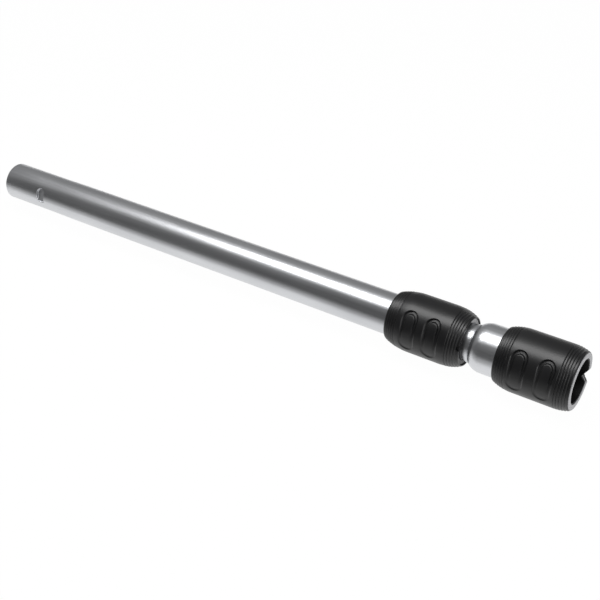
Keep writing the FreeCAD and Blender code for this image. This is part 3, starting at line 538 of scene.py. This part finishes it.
class FieldTree:
    """Small writer of Geometry Nodes fields."""

    def __init__(self, name, inputs):
        self.tree = bpy.data.node_groups.new(name, "GeometryNodeTree")
        interface = self.tree.interface
        interface.new_socket("Geometry", in_out="INPUT", socket_type="NodeSocketGeometry")
        for label in inputs:
            interface.new_socket(label, in_out="INPUT", socket_type="NodeSocketFloat")
        interface.new_socket("Material", in_out="INPUT", socket_type="NodeSocketMaterial")
        interface.new_socket("Geometry", in_out="OUTPUT", socket_type="NodeSocketGeometry")
        self.entry = self.tree.nodes.new("NodeGroupInput")
        self.exit = self.tree.nodes.new("NodeGroupOutput")

    def size(self, label):
        return self.entry.outputs[label]

    def feed(self, socket, value):
        if isinstance(value, (int, float)):
            socket.default_value = value
        else:
            self.tree.links.new(value, socket)

    def maths(self, operation, *values):
        node = self.tree.nodes.new("ShaderNodeMath")
        node.operation = operation
        for socket, value in zip(node.inputs, values):
            self.feed(socket, value)
        return node.outputs["Value"]

    def add(self, first, second):
        return self.maths("ADD", first, second)

    def subtract(self, first, second):
        return self.maths("SUBTRACT", first, second)

    def multiply(self, first, second):
        return self.maths("MULTIPLY", first, second)

    def half(self, value):
        return self.maths("DIVIDE", value, 2.0)

    def square(self, value):
        return self.maths("POWER", value, 2.0)

    def absolute(self, value):
        return self.maths("ABSOLUTE", value)

    def minus(self, value):
        return self.maths("MULTIPLY", value, -1.0)

    def ease(self, value, start, end, profile="SMOOTHSTEP"):
        """0 at start, 1 at end, with soft shoulders or as a straight slope."""
        node = self.tree.nodes.new("ShaderNodeMapRange")
        node.interpolation_type = profile
        self.feed(node.inputs["Value"], value)
        self.feed(node.inputs["From Min"], start)
        self.feed(node.inputs["From Max"], end)
        return node.outputs["Result"]


SLEEVE_INPUTS = [
    "Sleeve middle", "Sleeve half length", "Barrel radius",
    "Groove count", "Groove margin", "Groove pitch", "Groove width", "Groove depth",
    "Oval middle", "Oval pitch", "Oval width", "Oval height",
    "Trench width", "Trench depth", "Trench foot depth",
    "Pad drop top", "Pad drop foot", "Rim wall", "Rim round", "Edge softness",
]


def oval_floor(field, along, upward):
    """Radius of the floor of the finger ovals, whose outline is mirrored both ways."""
    off_middle = field.absolute(field.subtract(along, field.size("Oval middle")))
    off_oval = field.subtract(off_middle, field.half(field.size("Oval pitch")))
    half_width = field.half(field.size("Oval width"))
    straight = field.subtract(field.half(field.size("Oval height")), half_width)
    past_straight = field.maths("MAXIMUM", field.subtract(field.absolute(upward), straight), 0.0)
    squares = field.add(field.square(off_oval), field.square(past_straight))
    rim = field.subtract(field.maths("SQRT", squares), half_width)

    # the trench falls from the rim, the pad rises again inside it, and both change from top to foot
    trench = field.ease(rim, field.size("Rim round"), field.minus(field.size("Rim wall")), "LINEAR")
    softness = field.size("Edge softness")
    pad = field.ease(field.add(rim, field.size("Trench width")), softness, field.minus(softness))
    climb = field.ease(upward, field.minus(straight), straight)
    foot_drop = field.size("Pad drop foot")
    drop_range = field.subtract(foot_drop, field.size("Pad drop top"))
    pad_drop = field.subtract(foot_drop, field.multiply(climb, drop_range))
    foot_depth = field.size("Trench foot depth")
    depth_range = field.subtract(field.size("Trench depth"), foot_depth)
    depth = field.add(foot_depth, field.multiply(climb, depth_range))
    pad_rise = field.subtract(depth, pad_drop)
    sink = field.subtract(field.multiply(trench, depth), field.multiply(pad, pad_rise))
    return field.subtract(field.size("Barrel radius"), sink)


def groove_depth(field, along):
    """Depth of the turned grooves, repeated from both ends of the sleeve."""
    off_centre = field.absolute(field.subtract(along, field.size("Sleeve middle")))
    from_end = field.subtract(field.size("Sleeve half length"), off_centre)
    half_groove = field.half(field.size("Groove width"))
    from_first = field.subtract(field.subtract(from_end, field.size("Groove margin")), half_groove)
    nearest = field.maths("ROUND", field.maths("DIVIDE", from_first, field.size("Groove pitch")))
    last_groove = field.subtract(field.size("Groove count"), 1.0)
    chosen = field.maths("MAXIMUM", field.maths("MINIMUM", nearest, last_groove), 0.0)
    groove_middle = field.multiply(chosen, field.size("Groove pitch"))
    off_groove = field.absolute(field.subtract(from_first, groove_middle))
    lip = field.multiply(half_groove, GROOVE_LIP)
    return field.multiply(field.ease(off_groove, lip, 0.0), field.size("Groove depth"))


def sleeve_relief_tree():
    field = FieldTree("sleeve_relief", SLEEVE_INPUTS)
    nodes = field.tree.nodes
    links = field.tree.links
    place = nodes.new("GeometryNodeInputPosition")
    split = nodes.new("ShaderNodeSeparateXYZ")
    links.new(place.outputs["Position"], split.inputs["Vector"])
    along, across, upward = split.outputs
    floor = oval_floor(field, along, upward)
    groove = groove_depth(field, along)

    # the ovals are pressed straight in from front and back, the grooves are turned in towards the axis
    upward_square = field.square(upward)
    radius = field.maths("SQRT", field.add(field.square(across), upward_square))
    pressed = field.maths("MINIMUM", radius, floor)
    reach = field.subtract(field.square(pressed), upward_square)
    depth_in = field.maths("SQRT", field.maths("MAXIMUM", reach, 0.0))
    pushed = field.multiply(depth_in, field.maths("SIGN", across))
    turned = field.subtract(1.0, field.maths("DIVIDE", groove, pressed))
    moved = nodes.new("ShaderNodeCombineXYZ")
    field.feed(moved.inputs["X"], along)
    field.feed(moved.inputs["Y"], field.multiply(pushed, turned))
    field.feed(moved.inputs["Z"], field.multiply(upward, turned))
    outside = nodes.new("GeometryNodeInputNamedAttribute")
    outside.data_type = "BOOLEAN"
    outside.inputs["Name"].default_value = "outside"
    press = nodes.new("GeometryNodeSetPosition")
    realize = nodes.new("GeometryNodeRealizeInstances")
    finish = nodes.new("GeometryNodeSetMaterial")
    links.new(field.entry.outputs["Geometry"], press.inputs["Geometry"])
    links.new(outside.outputs["Attribute"], press.inputs["Selection"])
    links.new(moved.outputs["Vector"], press.inputs["Position"])
    links.new(press.outputs["Geometry"], realize.inputs["Geometry"])
    links.new(realize.outputs["Geometry"], finish.inputs["Geometry"])
    links.new(field.entry.outputs["Material"], finish.inputs["Material"])
    links.new(finish.outputs["Geometry"], field.exit.inputs["Geometry"])
    return field.tree


RELIEF = sleeve_relief_tree()


def press_relief(mesh, values, material):
    """Runs the relief tree on a plain sleeve and returns the pressed mesh."""
    work = bpy.data.objects.new("relief_work", mesh)
    bpy.context.collection.objects.link(work)
    modifier = work.modifiers.new("relief", "NODES")
    modifier.node_group = RELIEF
    for item in RELIEF.interface.items_tree:
        if item.in_out == "INPUT" and item.name in values:
            modifier[item.identifier] = float(values[item.name])
        if item.in_out == "INPUT" and item.name == "Material":
            modifier[item.identifier] = material
    pressed = plain_mesh(work)
    work.modifiers.remove(modifier)
    bpy.data.objects.remove(work)
    return pressed


# Sleeves

def sleeve_rows(start, end, middle, pitch):
    """Places along a sleeve where its outside needs a row of points."""
    rows = []
    for index in range(GROOVES_PER_END):
        near = GROOVE_MARGIN + GROOVE_PITCH * index
        for share in GROOVE_ROWS:
            rows.append(start + near + GROOVE_WIDTH * share)
            rows.append(end - near - GROOVE_WIDTH * share)
    reach = (pitch + OVAL_WIDTH) / 2 + OVAL_SOFTNESS
    count = int(reach * 2 / ROW_STEP)
    rows += [middle - reach + ROW_STEP * step for step in range(count + 1)]
    rows += [start + GROOVE_WIDTH, end - GROOVE_WIDTH]
    rows.sort()
    spaced = [rows[0]]
    for row in rows[1:]:
        if row - spaced[-1] > ROW_GAP:
            spaced.append(row)
    return spaced


def land_place(from_end):
    """Distance from the end whose height is used here, so that the lands between grooves are level."""
    half_land = (GROOVE_PITCH - GROOVE_WIDTH) / 2
    index = max(math.floor((from_end - GROOVE_MARGIN) / GROOVE_PITCH), -1)
    groove_start = GROOVE_MARGIN + GROOVE_PITCH * index
    groove_end = groove_start + GROOVE_WIDTH
    last = GROOVES_PER_END - 1
    if index > last or (index == last and from_end > groove_end):
        return from_end
    land_before = groove_start - half_land
    land_after = groove_end if index == last else groove_end + half_land
    share = min((from_end - groove_start) / GROOVE_WIDTH, 1.0)
    level = land_before + (land_after - land_before) * share
    return from_end + (level - from_end) * LAND_LEVEL


def sleeve_outside(start, end, middle, pitch, neck, mouth):
    """Outside of a barrel sleeve, from start to end; neck and mouth are (taper length, low, high)."""
    neck_taper, _, barrel = neck
    mouth_taper = mouth[0]
    points = []
    for along in sleeve_rows(start, end, middle, pitch):
        if along < start + neck_taper:
            height = arc_height(land_place(along - start), *neck)
        elif along > end - mouth_taper:
            height = arc_height(land_place(end - along), *mouth)
        else:
            height = barrel
        points.append((along, height, 0.0))
    return points


def outside_points(rows):
    """Number of loop points outside on a sleeve: its rows between two rounded corners."""
    return 2 * (FILLET_STEPS + 1) + len(rows)


def relief_values(start, end, barrel, middle, pitch):
    return {
        "Sleeve middle": (start + end) / 2,
        "Sleeve half length": (end - start) / 2,
        "Barrel radius": barrel,
        "Groove count": GROOVES_PER_END,
        "Groove margin": GROOVE_MARGIN,
        "Groove pitch": GROOVE_PITCH,
        "Groove width": GROOVE_WIDTH,
        "Groove depth": GROOVE_DEPTH,
        "Oval middle": middle,
        "Oval pitch": pitch,
        "Oval width": OVAL_WIDTH,
        "Oval height": OVAL_HEIGHT,
        "Trench width": OVAL_TRENCH,
        "Trench depth": OVAL_DEPTH,
        "Trench foot depth": OVAL_FOOT_DEPTH,
        "Pad drop top": PAD_DROP_TOP,
        "Pad drop foot": PAD_DROP_FOOT,
        "Rim wall": OVAL_RIM_WALL,
        "Rim round": OVAL_RIM_ROUND,
        "Edge softness": OVAL_SOFTNESS,
    }


SLEEVE_ANGLES = crowded_angles((FRONT, BACK), half_span=46.0, fine=0.65, coarse=2.25)


def release_sleeve():
    rear = (LOCK_REAR_TAPER, LOCK_END_RADIUS, LOCK_RADIUS)
    mouth = (LOCK_MOUTH_TAPER, LOCK_MOUTH_RADIUS, LOCK_RADIUS)
    outside = sleeve_outside(LOCK_START, LOCK_END, LOCK_OVALS, LOCK_OVAL_PITCH, rear, mouth)
    chamber_rear, chamber_front = LOCK_CHAMBER
    corners = [(LOCK_START, LOCK_END_RADIUS, 0.7)] + outside + [
        (LOCK_END, LOCK_MOUTH_RADIUS, 0.2),
        (LOCK_END, LOCK_COUNTERBORE, 0.1),
        (LOCK_COUNTERBORE_FOOT, LOCK_COUNTERBORE, 0.0),
        (LOCK_COUNTERBORE_FOOT, LOCK_GUIDE_BORE, 0.0),
        (chamber_front, LOCK_GUIDE_BORE, 0.0),
        (chamber_front, LOCK_CHAMBER_RADIUS, 0.0),
        (chamber_rear, LOCK_CHAMBER_RADIUS, 0.0),
        (chamber_rear, LOCK_REAR_BORE, 0.0),
        (LOCK_START, LOCK_REAR_BORE, 0.3),
    ]
    mesh = turned_mesh("release_sleeve", rounded_loop(corners), SLEEVE_ANGLES, outside_points(outside))
    values = relief_values(LOCK_START, LOCK_END, LOCK_RADIUS, LOCK_OVALS, LOCK_OVAL_PITCH)
    pressed = press_relief(mesh, values, BLACK_PLASTIC)
    foot = LOCK_END - LOCK_NOTCH_DEPTH
    beyond = LOCK_END + NOTCH_MARGIN
    notch = prism([
        (foot, -LOCK_NOTCH_HALF / 2),
        (beyond, -LOCK_NOTCH_HALF),
        (beyond, LOCK_NOTCH_HALF),
        (foot, LOCK_NOTCH_HALF / 2),
    ], ("Y", -CUTTER_REACH, -LOCK_NOTCH_FLOOR))
    cam = prism(LOCK_CAM, ("Y", -LOCK_CAM_HALF, LOCK_CAM_HALF))
    place_piece(carve(pressed, [notch, cam]), "release_sleeve_body", BLACK_PLASTIC, "release_sleeve",
                "lock_sleeve")


def coupling_sleeve():
    neck = (COUPLING_NECK_TAPER, COUPLING_NECK_RADIUS, COUPLING_RADIUS)
    mouth = (COUPLING_MOUTH_TAPER, COUPLING_MOUTH_RADIUS, COUPLING_RADIUS)
    span = (COUPLING_START, COUPLING_END)
    outside = sleeve_outside(*span, COUPLING_OVALS, COUPLING_OVAL_PITCH, neck, mouth)
    chamber_rear, chamber_front = COUPLING_CHAMBER
    corners = [(COUPLING_START, COUPLING_NECK_RADIUS, 0.7)] + outside + [
        (COUPLING_END, COUPLING_MOUTH_RADIUS, 0.4),
        (COUPLING_END, COUPLING_BORE, 0.3),
        (chamber_front, COUPLING_BORE, 0.0),
        (chamber_front, COUPLING_CHAMBER_RADIUS, 0.0),
        (chamber_rear, COUPLING_CHAMBER_RADIUS, 0.0),
        (chamber_rear, COUPLING_BORE, 0.0),
        (COUPLING_START, COUPLING_BORE, 0.3),
    ]
    mesh = turned_mesh("coupling_sleeve", rounded_loop(corners), SLEEVE_ANGLES, outside_points(outside))
    values = relief_values(*span, COUPLING_RADIUS, COUPLING_OVALS, COUPLING_OVAL_PITCH)
    pressed = press_relief(mesh, values, BLACK_PLASTIC)
    cam = prism(COUPLING_CAM, ("Y", -COUPLING_CAM_HALF, COUPLING_CAM_HALF))
    place_piece(carve(pressed, [key_notch(NOTCH_MARGIN), cam]), "coupling_sleeve_body", BLACK_PLASTIC,
                "coupling_sleeve", "socket_sleeve")


# Tubes

def pocket_edge(along, upward):
    """Signed distance to the arched pocket outline on the front of the outer tube, negative inside."""
    off = along - POCKET_PLACE
    arch_foot = POCKET_HALF_HEIGHT - POCKET_HALF_WIDTH
    if upward > arch_foot:
        return math.hypot(off, upward - arch_foot) - POCKET_HALF_WIDTH
    return max(abs(off) - POCKET_HALF_WIDTH, -POCKET_HALF_HEIGHT - upward)


def soft_step(value, start, end):
    share = min(max((value - start) / (end - start), 0.0), 1.0)
    return share * share * (3.0 - 2.0 * share)


def press_pocket(mesh):
    """Sinks the arched detent pocket into the front of the outer tube, both walls together."""
    reach_along, reach_upward = POCKET_REACH
    rim_outside, rim_inside = POCKET_RIM
    for vertex in mesh.vertices:
        along, across, upward = vertex.co
        if across > 0.0 or abs(upward) > reach_upward or abs(along - POCKET_PLACE) > reach_along:
            continue
        on_outside = math.hypot(across, upward) > SPIGOT_RADIUS - TUBE_WALL / 2
        grown = 0.0 if on_outside else TUBE_WALL
        floor = POCKET_FLOOR - grown
        sunk = soft_step(pocket_edge(along, upward), rim_outside + grown, rim_inside + grown)
        if -across > floor:
            vertex.co.y = across * (1.0 - sunk) - floor * sunk


def outer_tube():
    fine_rows = round(2.0 * POCKET_ROWS_REACH / POCKET_ROW_STEP) + 1
    fine = [POCKET_PLACE - POCKET_ROWS_REACH + POCKET_ROW_STEP * step for step in range(fine_rows)]
    outside = [(along, SPIGOT_RADIUS, 0.0) for along in fine]
    for step in range(TAPER_STEPS + 1):
        share = step / TAPER_STEPS
        radius = SPIGOT_RADIUS + (TUBE_RADIUS - SPIGOT_RADIUS) * soft_step(share, 0.0, 1.0)
        outside.append((SPIGOT_LENGTH + SPIGOT_BLEND * share, radius, 0.0))
    for step in range(1, OUTER_TUBE_ROWS + 1):
        outside.append((SPIGOT_LENGTH + TUBE_ROW_STEP * step, TUBE_RADIUS, 0.0))
    inside = [(SPIGOT_LENGTH + BORE_STEP, TUBE_BORE, 0.0), (SPIGOT_LENGTH, SPIGOT_BORE, 0.0)]
    inside += [(along, SPIGOT_BORE, 0.0) for along in reversed(fine)]
    corners = [(0.0, SPIGOT_RADIUS, 0.3)] + outside + [
        (TUBE_LENGTH, TUBE_RADIUS, 0.3), (TUBE_LENGTH, TUBE_BORE, 0.2),
    ] + inside + [(0.0, SPIGOT_BORE, 0.3)]
    angles = crowded_angles((FRONT,), half_span=32.0, fine=0.75, coarse=2.5)
    mesh = turned_mesh("outer_tube", rounded_loop(corners), angles)
    press_pocket(mesh)
    turn_outwards(mesh)
    place_piece(mesh, "outer_tube_skin", TUBE_METAL, "outer", "outer_tube")


def press_channel(mesh):
    """Flattens the lock channel into the inner tube along its lock line, both walls together."""
    start, end = CHANNEL
    for vertex in mesh.vertices:
        along, across, upward = vertex.co
        if upward < 0.0 or along > CHANNEL_LIMIT:
            continue
        on_outside = math.hypot(across, upward) > INNER_RADIUS - TUBE_WALL / 2
        grown = 0.0 if on_outside else TUBE_WALL
        floor = CHANNEL_FLOOR - grown
        edge = CHANNEL_HALF_WIDTH + grown
        side = soft_step(abs(across), edge + CHANNEL_RIM, edge - CHANNEL_RIM)
        ends = min(soft_step(along, start - CHANNEL_RAMP, start + CHANNEL_RAMP),
                   soft_step(along, end + CHANNEL_RAMP, end - CHANNEL_RAMP))
        sunk = side * ends
        if upward > floor:
            vertex.co.z = upward * (1.0 - sunk) + floor * sunk


def shoulder(low, high):
    """Rows of the swelling from the neck to the socket, between two radii."""
    length = SHOULDER_END - NECK_END
    rows = []
    for step in range(TAPER_STEPS + 1):
        off = length * step / TAPER_STEPS
        rows.append((NECK_END + off, arc_height(off, length, low, high), 0.0))
    return rows


def inner_tube():
    start, end = CHANNEL
    outside = [(start + step, INNER_RADIUS, 0.0) for step in CHANNEL_END_ROWS]
    outside += [(start + TUBE_ROW_STEP * step, INNER_RADIUS, 0.0) for step in range(1, INNER_TUBE_ROWS + 1)]
    outside += [(end + step, INNER_RADIUS, 0.0) for step in CHANNEL_END_ROWS]
    inside = [(end - step, INNER_BORE, 0.0) for step in CHANNEL_END_ROWS]
    inside += [(start - step, INNER_BORE, 0.0) for step in CHANNEL_END_ROWS]
    neck = [(NECK_FLARE_START, INNER_RADIUS, 0.0), (NECK_END - CREASE, NECK_FLARE_RADIUS, 0.1)]
    outer_shoulder = shoulder(NECK_FLARE_RADIUS - CREASE, SOCKET_RADIUS)
    inner_shoulder = shoulder(INNER_BORE, SOCKET_BORE)[::-1]
    corners = [(INNER_START, INNER_RADIUS, 0.2)] + outside + neck + outer_shoulder + [
        (SOCKET_END, SOCKET_RADIUS, 0.2), (SOCKET_END, SOCKET_BORE, 0.2),
    ] + inner_shoulder + inside + [(INNER_START, INNER_BORE, 0.2)]
    angles = crowded_angles((LOCK_LINE,), half_span=26.0, fine=0.8, coarse=2.5)
    mesh = turned_mesh("inner_tube", rounded_loop(corners), angles)
    press_channel(mesh)
    turn_outwards(mesh)
    place_piece(carve(mesh, [latch_window()]), "inner_tube_skin", TUBE_METAL, "inner",
                "inner_tube")


# Rings and liner at the two mouths

def release_mouth_ring():
    loop = rounded_loop([
        (RELEASE_RING_REAR, RELEASE_RING_SEAT, 0.0),
        (RELEASE_RING_LIP, RELEASE_RING_SEAT, 0.0),
        (RELEASE_RING_LIP, RELEASE_RING_BORE, 0.0),
        (RELEASE_RING_FACE, RELEASE_RING_BORE, 0.3),
        (RELEASE_RING_FACE, RELEASE_RING_RADIUS, 0.3),
        (RELEASE_RING_REAR, RELEASE_RING_RADIUS, 0.2),
    ])
    mesh = turned_mesh("release_mouth_ring", loop, even_angles(PLAIN_TURN_STEPS))
    place_piece(mesh, "release_mouth_ring", RING_PLASTIC_PAINTED_HIGHLIGHT, "outer", "lock_end_ring")


def socket_mouth_ring():
    loop = rounded_loop([
        (RING_REAR, RING_SEAT, 0.0),
        (RING_FLANGE, RING_SEAT, 0.0),
        (RING_FLANGE, RING_BORE, 0.1),
        (MOUTH, RING_BORE, 0.3),
        (MOUTH, RING_RADIUS, 0.35),
        (RING_FLANGE, RING_RADIUS, 0.1),
        (RING_FLANGE, SOCKET_RADIUS, 0.0),
        (RING_REAR, SOCKET_RADIUS, 0.1),
    ])
    mesh = turned_mesh("socket_mouth_ring", loop, even_angles(PLAIN_TURN_STEPS))
    place_piece(carve(mesh, [key_notch(0.0)]), "socket_mouth_ring", PALE_PLASTIC, "inner",
                "socket_end_ring")


def socket_lining():
    relief_start, relief_end = LINER_RELIEF
    loop = rounded_loop([
        (LINER_START, LINER_FOOT_BORE, 0.2),
        (LINER_FOOT_END, LINER_FOOT_BORE, 0.2),
        (LINER_FOOT_END, LINER_BORE, 0.0),
        (relief_start, LINER_BORE, 0.0),
        (relief_start + LINER_RELIEF_SLOPE, LINER_RELIEF_BORE, 0.0),
        (relief_end - LINER_RELIEF_SLOPE, LINER_RELIEF_BORE, 0.0),
        (relief_end, LINER_BORE, 0.0),
        (LINER_END, LINER_BORE, 0.4),
        (LINER_END, LINER_RADIUS, 0.0),
        (LINER_START, LINER_RADIUS, 0.2),
    ])
    mesh = turned_mesh("socket_lining", loop, even_angles(PLAIN_TURN_STEPS))
    place_piece(carve(mesh, [latch_window(), key_notch(0.0)]), "socket_lining", LINER_PLASTIC, "inner",
                "socket_liner")


outer_tube()
inner_tube()
release_sleeve()
coupling_sleeve()
release_mouth_ring()
socket_mouth_ring()
socket_lining()


# Return springs, drawn as fixed coils over the length of their CAD pieces; the real springs shorten as
# their sleeves slide

def coil_mesh(name, start, end, mean_radius, turns):
    """Round wire carried along a helix about X, with flat cut ends."""
    steps = turns * STEPS_PER_TURN
    rise = end - start - 2.0 * WIRE_RADIUS
    points = []
    for step in range(steps + 1):
        share = step / steps
        turn = math.tau * turns * share
        for side in range(WIRE_SIDES):
            around = math.tau * side / WIRE_SIDES
            along = start + WIRE_RADIUS + rise * share + WIRE_RADIUS * math.sin(around)
            radius = mean_radius + WIRE_RADIUS * math.cos(around)
            points.append((along, radius * math.cos(turn), radius * math.sin(turn)))
    faces = [tuple(range(WIRE_SIDES)), tuple(range(steps * WIRE_SIDES, len(points)))]
    for step in range(steps):
        for side in range(WIRE_SIDES):
            beside = (side + 1) % WIRE_SIDES
            here = step * WIRE_SIDES
            ahead = here + WIRE_SIDES
            faces.append((here + side, here + beside, ahead + beside, ahead + side))
    mesh = bpy.data.meshes.new(name)
    mesh.from_pydata(points, [], faces)
    turn_outwards(mesh)
    return mesh


def return_spring(name, body, node, mean_radius, turns):
    lowest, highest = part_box(node)
    start = lowest[0] * MM_PER_M
    end = highest[0] * MM_PER_M
    mesh = coil_mesh(name, start, end, mean_radius, turns)
    piece = place_piece(mesh, name, SPRING_STEEL, body, node)
    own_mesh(piece)


return_spring("release_spring", "outer", "lock_spring",
              RELEASE_SPRING_RADIUS, RELEASE_SPRING_TURNS)
return_spring("coupling_spring", "inner", "socket_spring",
              COUPLING_SPRING_RADIUS, COUPLING_SPRING_TURNS)


# Finishes of the CAD pieces that keep their shape

NODE_FINISHES = {
    "slide_ring": BUSH_PLASTIC,
    "guide_bush": BUSH_PLASTIC,
    "bush_pins": BUSH_PLASTIC,
    "wiper_ring": WIPER_FELT,
    "lock_snap_ring": SPRING_STEEL,
    "lock_washer": SPRING_STEEL,
    "lock_roller": SPRING_STEEL,
    "socket_seal": SEAL_RUBBER,
    "socket_latch": BUSH_PLASTIC,
    "spring_seat_ring": SPRING_STEEL,
    "socket_washer": SPRING_STEEL,
}
for node_name, finish in NODE_FINISHES.items():
    node_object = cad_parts[node_name]
    for material_slot in node_object.material_slots:
        material_slot.material = finish


# Studio, in metres

FLOOR_HEIGHT = -0.0262
FLOOR_SIZE = (12.0, 12.0)
FLOOR_GLOW_SHARE = 0.985
WORLD_FILL = 0.35
FLOOR_CARD_HEIGHT = FLOOR_HEIGHT + 0.002


def flat_mesh(name, size):
    """Rectangle about the origin, facing up."""
    half_wide, half_high = size[0] / 2, size[1] / 2
    mesh = bpy.data.meshes.new(name)
    mesh.from_pydata([(-half_wide, -half_high, 0.0), (half_wide, -half_high, 0.0),
                      (half_wide, half_high, 0.0), (-half_wide, half_high, 0.0)], [], [(0, 1, 2, 3)])
    return mesh


def studio_floor():
    mesh = flat_mesh("studio_floor", FLOOR_SIZE)
    mesh.transform(Matrix.Translation((0.0, 0.0, FLOOR_HEIGHT)))
    material, tree, shader = new_material("white_floor")
    shader.inputs["Base Color"].default_value = (0.9, 0.9, 0.9, 1.0)
    shader.inputs["Roughness"].default_value = 0.9
    shader.inputs["Specular IOR Level"].default_value = 0.1
    glow = tree.nodes.new("ShaderNodeEmission")
    glow.inputs["Strength"].default_value = 1.0
    blend = tree.nodes.new("ShaderNodeMixShader")
    share = tree.nodes.new("ShaderNodeMath")
    share.operation = "MULTIPLY"
    share.inputs[1].default_value = FLOOR_GLOW_SHARE
    tree.links.new(seen_rays(tree), share.inputs[0])
    tree.links.new(share.outputs["Value"], blend.inputs["Fac"])
    tree.links.new(shader.outputs["BSDF"], blend.inputs[1])
    tree.links.new(glow.outputs["Emission"], blend.inputs[2])
    tree.links.new(blend.outputs["Shader"], tree.nodes["Material Output"].inputs["Surface"])
    mesh.materials.append(material)
    floor = bpy.data.objects.new("studio_floor", mesh)
    bpy.context.collection.objects.link(floor)


def seen_rays(tree):
    """1 for rays that come straight from the camera, a mirror or glass."""
    path = tree.nodes.new("ShaderNodeLightPath")
    first = tree.nodes.new("ShaderNodeMath")
    first.operation = "MAXIMUM"
    second = tree.nodes.new("ShaderNodeMath")
    second.operation = "MAXIMUM"
    tree.links.new(path.outputs["Is Camera Ray"], first.inputs[0])
    tree.links.new(path.outputs["Is Glossy Ray"], first.inputs[1])
    tree.links.new(first.outputs["Value"], second.inputs[0])
    tree.links.new(path.outputs["Is Transmission Ray"], second.inputs[1])
    return second.outputs["Value"]


def studio_world():
    world = bpy.data.worlds.new("studio_world")
    world.use_nodes = True
    bpy.context.scene.world = world
    tree = world.node_tree
    fill = tree.nodes["Background"]
    fill.inputs["Color"].default_value = (1.0, 1.0, 1.0, 1.0)
    fill.inputs["Strength"].default_value = WORLD_FILL
    white = tree.nodes.new("ShaderNodeBackground")
    white.inputs["Color"].default_value = (1.0, 1.0, 1.0, 1.0)
    white.inputs["Strength"].default_value = 1.0
    blend = tree.nodes.new("ShaderNodeMixShader")
    tree.links.new(seen_rays(tree), blend.inputs["Fac"])
    tree.links.new(fill.outputs["Background"], blend.inputs[1])
    tree.links.new(white.outputs["Background"], blend.inputs[2])
    tree.links.new(blend.outputs["Shader"], tree.nodes["World Output"].inputs["Surface"])


def studio_card(name, middle, size, facing, shade):
    """Grey card that only reflections see, as a photographer's flag; the near floor strip is painted shade,
    the floor's shade next to the wand as reflections see it.
    """
    mesh = flat_mesh(name, size)
    turn = Vector(facing).to_track_quat("Z", "Y").to_matrix().to_4x4()
    mesh.transform(Matrix.Translation(middle) @ turn)
    material, tree, _ = new_material(name)
    glow = tree.nodes.new("ShaderNodeEmission")
    glow.inputs["Color"].default_value = (shade, shade, shade, 1.0)
    tree.links.new(glow.outputs["Emission"], tree.nodes["Material Output"].inputs["Surface"])
    mesh.materials.append(material)
    card = bpy.data.objects.new(name, mesh)
    bpy.context.collection.objects.link(card)
    card.visible_camera = False
    card.visible_diffuse = False
    card.visible_shadow = False


def softbox(name, place, aim, size, power):
    light = bpy.data.lights.new(name, "AREA")
    light.shape = "RECTANGLE"
    light.size = size[0]
    light.size_y = size[1]
    light.energy = power
    lamp = bpy.data.objects.new(name, light)
    lamp.location = place
    lamp.rotation_euler = (Vector(aim) - Vector(place)).to_track_quat("-Z", "Y").to_euler()
    bpy.context.collection.objects.link(lamp)


SOFTBOXES = [
    # name, place, aim, size, watts
    ("overhead_softbox", (0.26, -0.13, 1.10), (0.26, -0.13, 0.0), (1.28, 0.54), 13.0),
    ("mouth_softbox", (1.85, -0.32, 0.36), (0.50, 0.0, 0.0), (0.8, 0.7), 6.5),
]
CARDS = [
    # name, middle, size, facing, shade
    ("camera_side_card", (0.3, -1.6, 1.4), (6.0, 2.85), (0.0, 1.0, 0.0), 0.10),
    ("front_floor_card", (0.3, -0.86, FLOOR_CARD_HEIGHT), (6.0, 1.48), (0.0, 0.0, 1.0), 0.10),
    # near floor strip: painted shade, a grey strip that reflections see as the floor's shade next to the
    # wand
    ("near_floor_painted_shade_card", (0.3, -0.085, FLOOR_CARD_HEIGHT), (6.0, 0.07), (0.0, 0.0, 1.0), 0.5),
    ("back_card", (0.3, 1.6, 1.4), (6.0, 2.85), (0.0, -1.0, 0.0), 0.25),
    ("ceiling_card", (0.3, 0.0, 2.8), (6.0, 3.2), (0.0, 0.0, -1.0), 0.28),
    ("tube_end_card", (-2.7, 0.0, 1.4), (3.2, 2.85), (1.0, 0.0, 0.0), 0.24),
    ("mouth_end_card", (3.3, 0.0, 1.4), (3.2, 2.85), (-1.0, 0.0, 0.0), 0.28),
]
studio_floor()
studio_world()
for softbox_row in SOFTBOXES:
    softbox(*softbox_row)
for card_row in CARDS:
    studio_card(*card_row)


# Camera, fitted to the photograph's perspective

CAMERA_PLACE = (0.75407, -0.63865, 0.50038)
CAMERA_DOWN_DEGREES = 34.27
CAMERA_TURN_DEGREES = 33.17
CAMERA_LENS = 63.696
CAMERA_SENSOR = 36.0
CAMERA_CLIP_START = 0.01


def photo_camera():
    """Camera at the photograph's viewing angle, worked out for a square frame."""
    lens = bpy.data.cameras.new("photo_camera")
    lens.sensor_fit = "HORIZONTAL"
    lens.sensor_width = CAMERA_SENSOR
    lens.lens = CAMERA_LENS
    lens.clip_start = CAMERA_CLIP_START
    camera = bpy.data.objects.new("photo_camera", lens)
    camera.location = CAMERA_PLACE
    tilt = math.radians(90.0 - CAMERA_DOWN_DEGREES)
    camera.rotation_euler = (tilt, 0.0, math.radians(CAMERA_TURN_DEGREES))
    bpy.context.collection.objects.link(camera)
    bpy.context.scene.camera = camera


photo_camera()
bpy.context.scene.view_settings.view_transform = "Standard"
